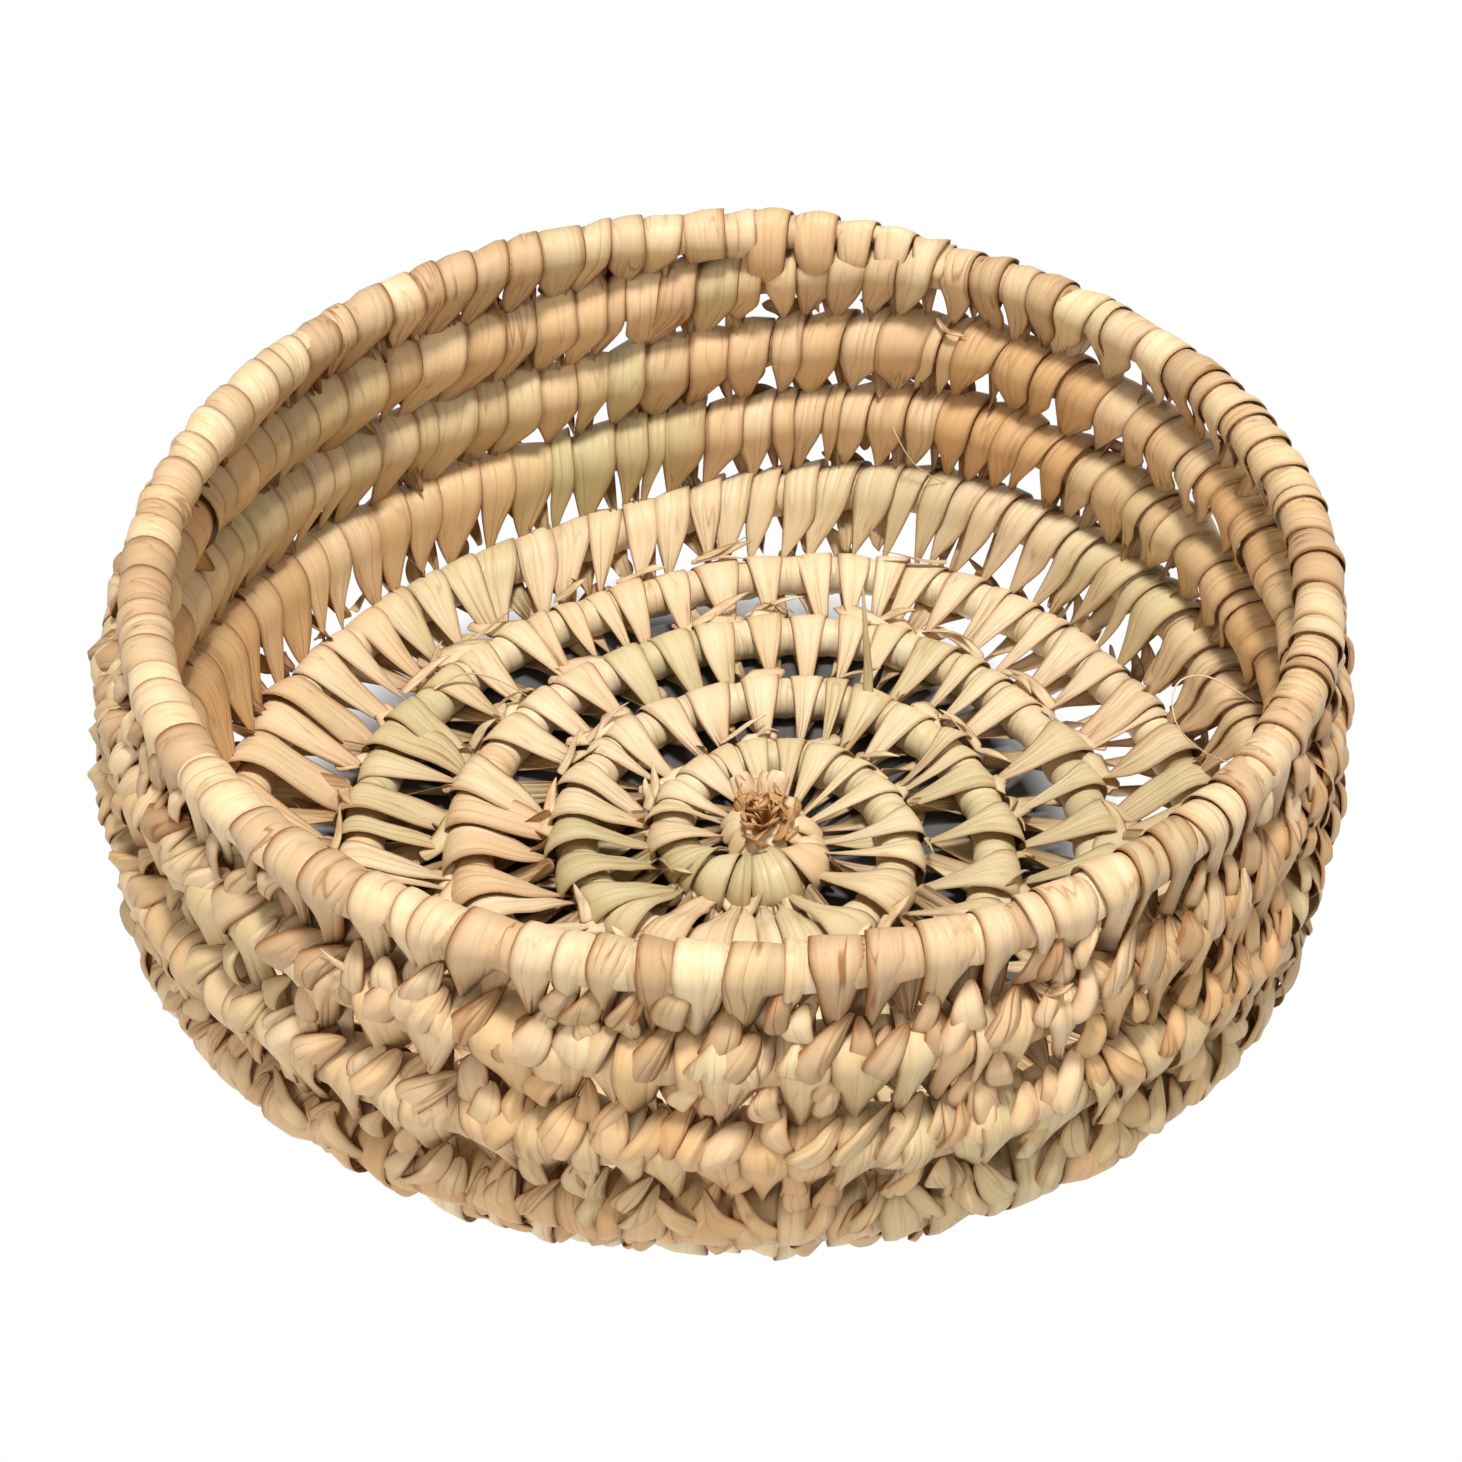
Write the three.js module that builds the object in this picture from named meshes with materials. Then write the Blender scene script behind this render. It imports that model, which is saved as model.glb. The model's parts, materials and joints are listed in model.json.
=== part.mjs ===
// A coiled palm leaf basket: one round foundation core is wound from the centre of the floor, out across
// the floor and up the wall to the rim, and strips of leaf bind it. Each strip is wrapped round the core
// and stitched to the round before it, which leaves a row of openings between the rounds.
// Millimetres, +Z up. The basket stands on z = 0 and its outer box is centred on the Z axis.
import * as THREE from "three";

// Shape of the basket, at the centre line of the core
const floorRadius = 103; // where the flat floor starts to turn up
const footRadius = 131; // where the turn meets the wall
const footHeight = 30; // rise of the turn above the floor's centre line
const rimRadius = 133.7;
const rimHeight = 98; // above the floor's centre line
const wallBulge = 0.55; // how far the wall's swell carries on the slope of the turn
const turnSoftness = 1 / 6; // how sharply the floor turns up: 0 is a corner right under the wall

// The plan isn't a true circle. It has three broad bulges, each with its extra radius at the rim,
// halfway up the wall and at the wall's foot.
const leftRim = 7;
const leftWall = 9.5;
const leftFoot = 2.5;
const cornerRim = 3;
const cornerWall = -2.5;
const cornerFoot = 7.5;
const frontRim = -3;
const frontWall = 3.5;
const frontFoot = 8.5;
const bulges = [ // azimuths and half widths in degrees
  { azimuth: 175, halfWidth: 92, rim: leftRim, wall: leftWall, foot: leftFoot },
  { azimuth: 227, halfWidth: 50, rim: cornerRim, wall: cornerWall, foot: cornerFoot },
  { azimuth: 300, halfWidth: 94, rim: frontRim, wall: frontWall, foot: frontFoot },
];
const wallSwellLean = 0.8; // under 1 moves the fullest part of the wall's swell down
const footRounds = { starts: 3.9, full: 5.2, fades: 6.1, gone: 8.5 }; // rounds that bulge with the foot
const knotRight = 4; // the coil starts a little off the middle of the rim
const knotBack = 2;

// The coil
const roundPitch = 23.2; // centre to centre of neighbouring rounds, before fitting a whole coil
const floorWrap = 6.2; // radius of the bound coil on the floor
const wallWrap = 7; // and up the wall
const rimWrap = 6; // and at the rim
const wrapGrowth = 18; // height over which the coil thickens from the floor to the wall
const leafWall = 1.3; // thickness of the wrapped leaf
const coreClearance = 0.35; // between the core and the leaf wrapped round it
const stitchPitch = 27; // along the coil, from one stitch to the next
const stitchTipWidth = 2.4;
const stitchClearance = 0.35; // between a stitch's tip and the round that it is tied to
const floorStrips = 16; // strips of leaf that bind the floor's part of the coil
const wallStrips = 20;
const rimStrips = 6;
const stripGap = 0.35; // between the end of one strip and the start of the next

// The turns, counted clockwise seen from above
const startAzimuth = 163; // degrees, where turn 0 would be
const startTurn = 0.5;
const startKeepOff = 0.14; // part of a turn before the coil passes its own start that has no stitch
const climbStart = 0.117; // part of a turn where a wall round starts its climb to the next level
const climbLength = 0.18;
const levelShare = 0.85; // 1 makes the wall's rounds quite level between climbs, 0 an even spiral
const spiralEnds = 0.8; // turn where the even spiral of the floor starts to give way to level rounds
const levelStarts = 6.2;
const endRadius = 2.6; // of the bound coil where it ends, as a wedge on the round that climbs under it
const fineStep = 0.002; // of a turn, for directions along the coil and for the place of its end

// The knot that starts the coil
const knotClearance = 0.4;
const knotHeight = 9; // of the knot's head above its neck
const knotFlare = 1.6; // radius of the head, as a share of the stem under it
const knotTie = { height: 0.7, radius: 0.55 }; // where the head is drawn in, as shares of its own size
const knotTuft = 0.7; // radius of the loose ends over the tie, as a share of the head
const knotSoftness = 1; // rise of the head from its neck to its edge, and of its top to the middle
const knotSides = 12;

const sides = 8; // of the wrapped leaf's section
const coreSides = 6;
const steepestStep = 1 / 16; // of a turn, the most that one step of the coil may bend
const wideStepFrom = 3; // turn past which the core needs only every second step
const nextRoundFrom = 0.6; // of a turn, past which two places on the core belong to different rounds

const floorCentre = floorWrap; // height of the floor's centre line, so that the floor rests on z = 0
const knotPlace = new THREE.Vector3(knotRight, knotBack, 0);
const clamp01 = (x) => Math.min(1, Math.max(0, x));
const smooth = (x) => clamp01(x) ** 2 * (3 - 2 * clamp01(x));
const mix = (a, b, share) => a + (b - a) * share;

// The profile that the rounds follow from the centre of the floor to the rim, as radius and height
const foot = new THREE.Vector2(footRadius, floorCentre + footHeight);
const footTurn = new THREE.Vector2(mix(footRadius, floorRadius, turnSoftness), floorCentre);
const swell = foot.clone().sub(footTurn).multiplyScalar(wallBulge * (rimHeight - footHeight) / footHeight);
const profile = new THREE.Path();
profile.moveTo(0, floorCentre);
profile.lineTo(floorRadius, floorCentre);
profile.quadraticCurveTo(footTurn.x, footTurn.y, foot.x, foot.y);
profile.quadraticCurveTo(foot.x + swell.x, foot.y + swell.y, rimRadius, floorCentre + rimHeight);
const profileLength = profile.getLength();

// The rim is the last level round, so the pitch is fitted to a whole number of rounds
const rimTurn = Math.round(profileLength / roundPitch - climbStart) + climbStart;
const pitch = profileLength / rimTurn;

// Extra radius that the bulges give at an azimuth in degrees, at the rim, the wall or the foot
function bulgeAt(azimuth, where) {
  return bulges.reduce((sum, bulge) => {
    const off = THREE.MathUtils.euclideanModulo(azimuth - bulge.azimuth + 180, 360) - 180;
    const near = 1 - Math.min(Math.abs(off) / bulge.halfWidth, 1);
    return sum + bulge[where] * (1 - Math.cos(Math.PI * near)) / 2;
  }, 0);
}

// How far along the profile the coil has come at a turn, in rounds
function levelAt(turn) {
  const whole = Math.floor(turn);
  const stair = whole + smooth((turn - whole - climbStart) / climbLength) + climbStart;
  const share = levelShare * smooth((turn - spiralEnds) / (levelStarts - spiralEnds));
  return Math.min(turn + share * (stair - turn), rimTurn);
}

// Radius of the bound coil at a height, before the rim
const wrapAtHeight = (z) => mix(floorWrap, wallWrap, smooth((z - floorCentre) / wrapGrowth));

// The coil's centre line at a turn, for a coil that keeps to the profile to its end
function profilePoint(turn) {
  const azimuth = startAzimuth - 360 * turn;
  const level = levelAt(turn);
  const p = profile.getPointAt(clamp01(level / rimTurn));
  const outward = smooth(p.x / rimRadius);
  const up = clamp01((p.y - floorCentre) / rimHeight);
  const { starts, full, fades, gone } = footRounds;
  const low = smooth((level - starts) / (full - starts)) * (1 - smooth((level - fades) / (gone - fades)));
  const radius = p.x + bulgeAt(azimuth, "rim") * outward * p.x / rimRadius
    + bulgeAt(azimuth, "wall") * Math.sin(Math.PI * up ** wallSwellLean)
    + bulgeAt(azimuth, "foot") * low;
  const angle = THREE.MathUtils.degToRad(azimuth);
  return new THREE.Vector3(radius * Math.cos(angle), radius * Math.sin(angle), p.y)
    .addScaledVector(knotPlace, 1 - outward);
}

// Past one whole round of rim the coil has the climbing round under it, and thins out to a wedge
// between that round and the top of the rim
const rimTop = floorCentre + rimHeight + rimWrap;
const wedgeRadius = (below) => (rimTop - below.z - wrapAtHeight(below.z) - stitchClearance) / 2;

// Radius of the bound coil at a turn
function wrapAt(turn) {
  if (turn > rimTurn) return Math.min(rimWrap, wedgeRadius(profilePoint(turn - 1)));
  return mix(wrapAtHeight(profilePoint(turn).z), rimWrap, smooth((turn - rimTurn + 1) / climbLength));
}
const boreAt = (turn) => wrapAt(turn) - leafWall;
const coreAt = (turn) => boreAt(turn) - coreClearance;

// The coil's centre line at a turn
function coilPoint(turn) {
  const point = profilePoint(turn);
  return turn > rimTurn ? point.setZ(rimTop - wrapAt(turn)) : point;
}

// The coil ends where the wedge gets thin
let endTurn = rimTurn;
while (wrapAt(endTurn) > endRadius) endTurn += fineStep;

// The hole that the first round leaves at the centre, and the knot's stem in it
const startRadius = coilPoint(startTurn).sub(knotPlace).setZ(0).length();
const holeRadius = startRadius - floorWrap / Math.cos(Math.PI / sides);
const stemRadius = Math.max(holeRadius - knotClearance, 1);

// What a round is stitched to at a turn: the round before it, or the knot's stem for the first round
function tiedTo(turn) {
  if (turn - 1 > startTurn) return { centre: coilPoint(turn - 1), turn: turn - 1 };
  return { centre: knotPlace.clone().setZ(floorCentre), turn: null };
}

// Axes across the coil at a turn: along it, towards what it is tied to, and out of the basket
function axesAt(turn) {
  const centre = coilPoint(turn);
  const along = coilPoint(turn + fineStep).sub(coilPoint(turn - fineStep)).normalize();
  const towards = tiedTo(turn).centre.sub(centre);
  towards.addScaledVector(along, -towards.dot(along)).normalize();
  return { centre, along, towards, outward: along.clone().cross(towards) };
}

// Distance from the middle of a regular section to its edge, in a direction measured from a flat
function edgeOfSection(across, angle, count) {
  const half = Math.PI / count;
  const off = ((((angle + half) % (2 * half)) + 2 * half) % (2 * half)) - half;
  return across / Math.cos(off);
}

// Radius of what a stitch is tied to, on the side that faces the stitch
function tiedRadius(tied, aim) {
  if (tied.turn === null) return stemRadius;
  const other = axesAt(tied.turn);
  const angle = Math.atan2(-aim.dot(other.outward), -aim.dot(other.towards));
  return edgeOfSection(wrapAt(tied.turn), angle, sides);
}

// Just before the coil passes its own start, that end takes the place of a stitch
const passesStart = (turn) => turn < startTurn + 1 && turn > startTurn + 1 - startKeepOff;

// The middle of a stitch's tip, or null where the rounds lie too close together for a stitch
function stitchTip(turn, centre) {
  const tied = tiedTo(turn);
  const aim = tied.centre.clone().sub(centre);
  const far = aim.length();
  aim.normalize();
  const reach = far - tiedRadius(tied, aim) - stitchClearance;
  if (passesStart(turn) || reach < wrapAt(turn) / Math.cos(Math.PI / sides)) return null;
  return aim.multiplyScalar(reach).add(centre);
}

// The section of the wrapped leaf at a turn. Where there is a stitch, the flat towards the round
// before it is drawn out to the stitch's tip.
function wrapSection(turn, stitched) {
  const axes = axesAt(turn);
  const corner = wrapAt(turn) / Math.cos(Math.PI / sides);
  const tip = stitched ? stitchTip(turn, axes.centre) : null;
  return Array.from({ length: sides }, (_, k) => {
    if (tip && k < 2) return tip.clone().addScaledVector(axes.outward, (k - 0.5) * stitchTipWidth);
    const angle = ((k - 0.5) * 2 * Math.PI) / sides;
    return axes.centre.clone()
      .addScaledVector(axes.towards, corner * Math.cos(angle))
      .addScaledVector(axes.outward, corner * Math.sin(angle));
  });
}

// A plain round section of a given radius at a turn, for the core and for the bore round it
function roundSection(turn, radius) {
  const axes = axesAt(turn);
  return Array.from({ length: coreSides }, (_, k) => {
    const angle = (k * 2 * Math.PI) / coreSides;
    return axes.centre.clone()
      .addScaledVector(axes.towards, radius * Math.cos(angle))
      .addScaledVector(axes.outward, radius * Math.sin(angle));
  });
}

// Collects points and triangles for one closed surface
class Surface {
  points = [];
  faces = [];

  addRing(ring) {
    const first = this.points.length;
    this.points.push(...ring);
    return ring.map((_, k) => first + k);
  }

  // Joins two rings of as many points, facing outwards unless turned
  band(a, b, turned) {
    a.forEach((_, k) => {
      const next = (k + 1) % a.length;
      const quad = turned ? [a[k], b[k], b[next], a[next]] : [a[k], a[next], b[next], b[k]];
      this.faces.push([quad[0], quad[1], quad[2]], [quad[0], quad[2], quad[3]]);
    });
  }

  tube(rings, turned = false) {
    rings.slice(1).forEach((ring, k) => this.band(rings[k], ring, turned));
  }

  // Closes an end: between an outer ring and a hole's ring, or across a ring with no hole
  cap(outer, hole, axes, turned) {
    const flat = (i) => {
      const d = this.points[i].clone().sub(axes.centre);
      return new THREE.Vector2(d.dot(axes.towards), d.dot(axes.outward));
    };
    const all = [...outer, ...hole];
    const found = THREE.ShapeUtils.triangulateShape(outer.map(flat), hole.length ? [hole.map(flat)] : []);
    found.forEach(([a, b, c]) => {
      const area = flat(all[b]).sub(flat(all[a])).cross(flat(all[c]).sub(flat(all[a])));
      const [p, q] = area > 0 === turned ? [b, c] : [c, b];
      this.faces.push([all[a], all[p], all[q]]);
    });
  }

  geometry() {
    const made = new THREE.BufferGeometry().setFromPoints(this.points);
    made.setIndex(this.faces.flat());
    made.computeVertexNormals();
    return made;
  }
}

// Length of a whole turn at the radius that a turn has
const aroundAt = (turn) => 2 * Math.PI * coilPoint(turn).setZ(0).length();

// Turns of the coil where sections are placed: half a stitch apart, closer where it bends tightly
function coilStations() {
  const turns = [startTurn];
  while (turns.at(-1) < endTurn) {
    turns.push(turns.at(-1) + Math.min(stitchPitch / 2 / aroundAt(turns.at(-1)), steepestStep));
  }
  if (turns.length % 2 === 0) turns.push(turns.at(-1) + turns.at(-1) - turns.at(-2));
  const fit = (endTurn - startTurn) / (turns.at(-1) - startTurn);
  return turns.map((turn) => startTurn + (turn - startTurn) * fit);
}

const stations = coilStations();
const needsCore = (k) => k % 2 === 0 || stations[k] < wideStepFrom;

// The foundation core, one unbroken tube from the knot to the end of the rim
function coreGeometry() {
  const made = new Surface();
  const turns = stations.filter((_, k) => needsCore(k));
  const rings = turns.map((turn) => made.addRing(roundSection(turn, coreAt(turn))));
  made.tube(rings);
  made.cap(rings[0], [], axesAt(turns[0]), false);
  made.cap(rings.at(-1), [], axesAt(turns.at(-1)), true);
  return made.geometry();
}

// One strip of leaf, wrapped round the core between two even stations and stitched at the odd ones
function bindingGeometry(first, last) {
  const made = new Surface();
  const gapTurn = (k) => stripGap / 2 / aroundAt(stations[k]);
  const turnAt = (k) => {
    if (k === first) return stations[k] + gapTurn(k);
    if (k === last) return stations[k] - gapTurn(k);
    return stations[k];
  };
  const range = Array.from({ length: last - first + 1 }, (_, k) => first + k);
  const outer = range.map((k) => made.addRing(wrapSection(turnAt(k), k % 2 === 1)));
  const bore = range.filter(needsCore).map((k) => made.addRing(roundSection(turnAt(k), boreAt(turnAt(k)))));
  made.tube(outer);
  made.tube(bore, true);
  made.cap(outer[0], bore[0], axesAt(turnAt(first)), false);
  made.cap(outer.at(-1), bore.at(-1), axesAt(turnAt(last)), true);
  return made.geometry();
}

// The knot at the centre: a stem in the hole of the first round, under a tied head of leaf ends
function knotGeometry() {
  const neck = floorCentre + floorWrap + knotClearance;
  const head = Math.min(stemRadius * knotFlare, startRadius);
  const tie = neck + knotHeight * knotTie.height;
  const outline = new THREE.Path();
  outline.moveTo(0, knotClearance);
  outline.lineTo(stemRadius, knotClearance);
  outline.lineTo(stemRadius, neck - knotSoftness);
  outline.lineTo(head, neck);
  outline.quadraticCurveTo(head, tie, head * knotTie.radius, tie);
  outline.lineTo(head * knotTuft, neck + knotHeight);
  outline.lineTo(0, neck + knotHeight - knotSoftness);
  return new THREE.LatheGeometry(outline.getPoints(4), knotSides).rotateX(Math.PI / 2)
    .translate(knotPlace.x, knotPlace.y, 0);
}

// The coil of the core never comes near itself: least gap between its turns
function leastGap() {
  const turns = stations.filter((turn, k) => k % 2 === 0);
  let least = Infinity;
  turns.forEach((a, i) => turns.slice(i + 1).forEach((b) => {
    if (b - a < nextRoundFrom) return;
    least = Math.min(least, coilPoint(a).distanceTo(coilPoint(b)) - coreAt(a) - coreAt(b));
  }));
  return least;
}

const leaf = (colour) => new THREE.MeshStandardMaterial({ color: colour, roughness: 0.62, metalness: 0 });
const strawLeaf = leaf(0xe3c08c);
const roseLeaf = leaf(0xdcb18a);
const greenLeaf = leaf(0xc3bb82);
const coreMidrib = leaf(0xc79e68);
const knotLeaf = leaf(0xb98a5c);
const leafTones = [strawLeaf, roseLeaf, strawLeaf, greenLeaf, roseLeaf];

const coil = new THREE.Group();

function addMesh(name, geometry, material) {
  const mesh = new THREE.Mesh(geometry, material);
  mesh.name = name;
  coil.add(mesh);
  return mesh;
}

addMesh("foundation_core", coreGeometry(), coreMidrib);
addMesh("start_knot", knotGeometry(), knotLeaf);

// Floor, wall and rim are bound in turn, each with strips of about one length
const wallTurn = Math.round((floorRadius + footRadius) / 2 / pitch) + climbStart;
const lastClimb = rimTurn - 1 + climbLength;
const regions = [
  ["floor_binding", floorStrips, startTurn, wallTurn],
  ["wall_binding", wallStrips, wallTurn, lastClimb],
  ["rim_binding", rimStrips, lastClimb, endTurn],
];
const evenStation = (turn) => {
  const near = stations.findLastIndex((at) => at <= turn);
  return near - (near % 2);
};
let stripNumber = 0;
for (const [name, count, from, to] of regions) {
  const first = evenStation(from);
  const last = to === endTurn ? stations.length - 1 : evenStation(to);
  const cut = (k) => first + 2 * Math.round(((last - first) / 2) * (k / count));
  for (let k = 0; k < count; k += 1) {
    const label = String(k + 1).padStart(2, "0");
    const tone = leafTones[stripNumber % leafTones.length];
    addMesh(`${name}_${label}`, bindingGeometry(cut(k), cut(k + 1)), tone);
    stripNumber += 1;
  }
}

// Stands the basket with the middle of its outer box on the Z axis
const basket = new THREE.Group();
basket.add(coil);
const box = new THREE.Box3().setFromObject(coil);
coil.position.set(-(box.min.x + box.max.x) / 2, -(box.min.y + box.max.y) / 2, -box.min.z);

const size = box.getSize(new THREE.Vector3());
console.log(`outer size ${size.x.toFixed(1)} x ${size.y.toFixed(1)} x ${size.z.toFixed(1)} mm`);
console.log(`${rimTurn.toFixed(2)} turns, ${pitch.toFixed(2)} mm apart`);
console.log(`least gap between the turns of the core ${leastGap().toFixed(2)} mm`);

export default basket;
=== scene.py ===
import json
import math
import random

import bmesh
import bpy
import numpy as np
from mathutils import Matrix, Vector


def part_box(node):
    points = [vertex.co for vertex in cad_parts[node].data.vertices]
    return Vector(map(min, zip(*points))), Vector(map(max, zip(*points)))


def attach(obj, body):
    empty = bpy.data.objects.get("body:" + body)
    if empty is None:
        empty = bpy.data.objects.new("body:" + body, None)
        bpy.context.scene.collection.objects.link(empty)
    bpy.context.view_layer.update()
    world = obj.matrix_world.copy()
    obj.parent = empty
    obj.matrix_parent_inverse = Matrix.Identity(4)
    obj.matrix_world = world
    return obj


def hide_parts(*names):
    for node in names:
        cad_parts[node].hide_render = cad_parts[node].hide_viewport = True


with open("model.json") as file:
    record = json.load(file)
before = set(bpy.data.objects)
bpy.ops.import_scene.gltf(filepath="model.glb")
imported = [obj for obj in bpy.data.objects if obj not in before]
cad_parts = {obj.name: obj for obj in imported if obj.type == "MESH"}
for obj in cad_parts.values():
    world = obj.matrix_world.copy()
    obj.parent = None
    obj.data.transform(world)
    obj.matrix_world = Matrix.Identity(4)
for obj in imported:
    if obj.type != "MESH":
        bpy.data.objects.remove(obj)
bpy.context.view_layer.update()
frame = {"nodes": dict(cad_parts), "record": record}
mm = 0.001

# The photograph's camera: it looks along +Y and down, with no roll. Its place is measured from the
# middle of the rim, at floor level.
cameraSetup = {
    "elevation": 43.0,
    "lens": 70.6,
    "sensor": 36.0,
    "fromRim": (-4.5 * mm, -521.9 * mm, 532.5 * mm),
}

# The coil's path, the same as the solids have. Turns are counted clockwise seen from above.
coil = {
    "floorRadius": 103 * mm,
    "footRadius": 131 * mm,
    "footHeight": 30 * mm,
    "rimRadius": 133.7 * mm,
    "rimHeight": 98 * mm,
    "wallBulge": 0.55,
    "turnSoftness": 1 / 6,  # how round the foot is
    "wallSwellLean": 0.8,
    "footRounds": (3.9, 5.2, 6.1, 8.5),  # where the foot's bulges start, are full, fade and end
    "knotPlace": (4 * mm, 2 * mm),
    "pitch": 23.2 * mm,  # before it is fitted to whole rounds
    "floorWrap": 6.2 * mm,  # this and the next two are radii of the wrapped coil
    "wallWrap": 7 * mm,
    "rimWrap": 6 * mm,
    "wrapGrowth": 18 * mm,
    "stitchClearance": 0.35 * mm,
    "startAzimuth": 163,
    "startTurn": 0.5,
    "climbStart": 0.117,  # in turns, the part of a level round where it climbs to the next
    "climbLength": 0.18,
    "levelShare": 0.85,
    "spiralEnds": 0.8,
    "levelStarts": 6.2,
    "endRadius": 2.6 * mm,  # of the rim's wedge, where it ends
    "fineStep": 0.002,  # in turns, for finding where the rim's wedge ends
    "fineSteps": 200,
    "profileSamples": 200,
    "samples": 9000,
}

# The plan bulges round these azimuths, by this much extra radius at three heights
bulges = [
    {"azimuth": 175, "halfWidth": 92, "rim": 7 * mm, "wall": 9.5 * mm, "foot": 2.5 * mm},
    {"azimuth": 227, "halfWidth": 50, "rim": 3 * mm, "wall": -2.5 * mm, "foot": 7.5 * mm},
    {"azimuth": 300, "halfWidth": 94, "rim": -3 * mm, "wall": 3.5 * mm, "foot": 8.5 * mm},
]


def smooth(x):
    x = np.clip(x, 0, 1)
    return x * x * (3 - 2 * x)


def unit(v):
    return v / np.linalg.norm(v, axis=-1, keepdims=True)


def blendOf(a, b, share):
    return a + (b - a) * share


def bulgeAt(azimuth, where):
    total = 0
    for bulge in bulges:
        off = (azimuth - bulge["azimuth"] + 180) % 360 - 180
        near = 1 - np.minimum(np.abs(off) / bulge["halfWidth"], 1)
        total = total + bulge[where] * (1 - np.cos(math.pi * near)) / 2
    return total


# The profile from the middle of the floor to the rim, as points with their distance along it
def profileLine():
    base = coil["floorWrap"]
    foot = np.array([coil["footRadius"], base + coil["footHeight"]])
    turn = np.array([blendOf(coil["footRadius"], coil["floorRadius"], coil["turnSoftness"]), base])
    rise = coil["wallBulge"] * (coil["rimHeight"] - coil["footHeight"]) / coil["footHeight"]
    start = np.array([coil["floorRadius"], base])
    end = np.array([coil["rimRadius"], base + coil["rimHeight"]])
    s = np.linspace(0, 1, coil["profileSamples"])[:, None]

    def bend(a, b, c):
        return a * (1 - s) ** 2 + b * 2 * s * (1 - s) + c * s ** 2

    line = np.array([0, base]) * (1 - s) + start * s
    points = np.vstack([line, bend(start, turn, foot), bend(foot, foot + (foot - turn) * rise, end)])
    far = np.concatenate([[0], np.cumsum(np.linalg.norm(np.diff(points, axis=0), axis=1))])
    return points, far


profile, profileFar = profileLine()
rimTurn = round(profileFar[-1] / coil["pitch"] - coil["climbStart"]) + coil["climbStart"]
pitch = profileFar[-1] / rimTurn
rimTop = coil["floorWrap"] + coil["rimHeight"] + coil["rimWrap"]


def levelAt(turn):
    whole = np.floor(turn)
    stair = whole + smooth((turn - whole - coil["climbStart"]) / coil["climbLength"]) + coil["climbStart"]
    blendLength = coil["levelStarts"] - coil["spiralEnds"]
    share = coil["levelShare"] * smooth((turn - coil["spiralEnds"]) / blendLength)
    return np.minimum(turn + share * (stair - turn), rimTurn)


def wrapAtHeight(z):
    return blendOf(coil["floorWrap"], coil["wallWrap"], smooth((z - coil["floorWrap"]) / coil["wrapGrowth"]))


def profilePoints(turn):
    azimuth = coil["startAzimuth"] - 360 * turn
    level = levelAt(turn)
    along = np.clip(level / rimTurn, 0, 1) * profileFar[-1]
    px = np.interp(along, profileFar, profile[:, 0])
    pz = np.interp(along, profileFar, profile[:, 1])
    outward = smooth(px / coil["rimRadius"])
    up = np.clip((pz - coil["floorWrap"]) / coil["rimHeight"], 0, 1)
    starts, full, fades, gone = coil["footRounds"]
    low = smooth((level - starts) / (full - starts)) * (1 - smooth((level - fades) / (gone - fades)))
    radius = px + bulgeAt(azimuth, "rim") * outward * px / coil["rimRadius"]
    radius = radius + bulgeAt(azimuth, "wall") * np.sin(math.pi * up ** coil["wallSwellLean"])
    radius = radius + bulgeAt(azimuth, "foot") * low
    x = radius * np.cos(np.radians(azimuth)) + coil["knotPlace"][0] * (1 - outward)
    y = radius * np.sin(np.radians(azimuth)) + coil["knotPlace"][1] * (1 - outward)
    return np.stack([x, y, pz], -1)


# Radius of the wrapped coil. Past one whole round of rim it thins out to a wedge.
def wrapAt(turn):
    below = profilePoints(turn - 1)[..., 2]
    wedge = (rimTop - below - wrapAtHeight(below) - coil["stitchClearance"]) / 2
    plain = blendOf(wrapAtHeight(profilePoints(turn)[..., 2]), coil["rimWrap"],
                    smooth((turn - rimTurn + 1) / coil["climbLength"]))
    return np.where(turn > rimTurn, np.minimum(coil["rimWrap"], wedge), plain)


def coilPoints(turn):
    points = profilePoints(turn)
    points[..., 2] = np.where(turn > rimTurn, rimTop - wrapAt(turn), points[..., 2])
    return points


endChoices = rimTurn + coil["fineStep"] * np.arange(1, coil["fineSteps"])
endTurn = float(endChoices[np.argmax(wrapAt(endChoices) <= coil["endRadius"])])

# The coil as sampled arrays: centre, direction, and the directions to the round before and into the bowl
turns = np.linspace(coil["startTurn"], endTurn, coil["samples"])
centres = coilPoints(turns)
alongs = unit(np.gradient(centres, axis=0))
knotBase = np.array([*coil["knotPlace"], coil["floorWrap"]])
before = np.where((turns - 1 > coil["startTurn"])[:, None], coilPoints(turns - 1), knotBase)
towards = before - centres
towards = towards - alongs * (towards * alongs).sum(-1, keepdims=True)
reaches = np.linalg.norm(towards, axis=-1)
towards = unit(towards)
inwards = np.cross(towards, alongs)
lengths = np.concatenate([[0], np.cumsum(np.linalg.norm(np.diff(centres, axis=0), axis=1))])
wraps = wrapAt(turns)

# The finished solids are centred on the origin, so the path is moved to where the solid core is
coreLow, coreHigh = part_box("foundation_core")
shift = np.zeros(3)
for k in (0, 1):
    shift[k] = (coreLow[k] + coreHigh[k]) / 2 - (centres[:, k].min() + centres[:, k].max()) / 2
centres = centres + shift
knotCentre = knotBase + shift


def readAlong(values, far):
    if values.ndim == 1:
        return np.interp(far, lengths, values)
    return np.stack([np.interp(far, lengths, values[:, k]) for k in range(3)], -1)


# Places points by distance along the coil, distance towards the round before, and distance into the bowl
def place(far, down, inner):
    axes = [unit(readAlong(a, far)) for a in (towards, inwards)]
    beyond = np.maximum(far - lengths[-1], 0)[:, None] * alongs[-1] + np.minimum(far, 0)[:, None] * alongs[0]
    return readAlong(centres, far) + beyond + axes[0] * down[:, None] + axes[1] * inner[:, None]


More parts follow.
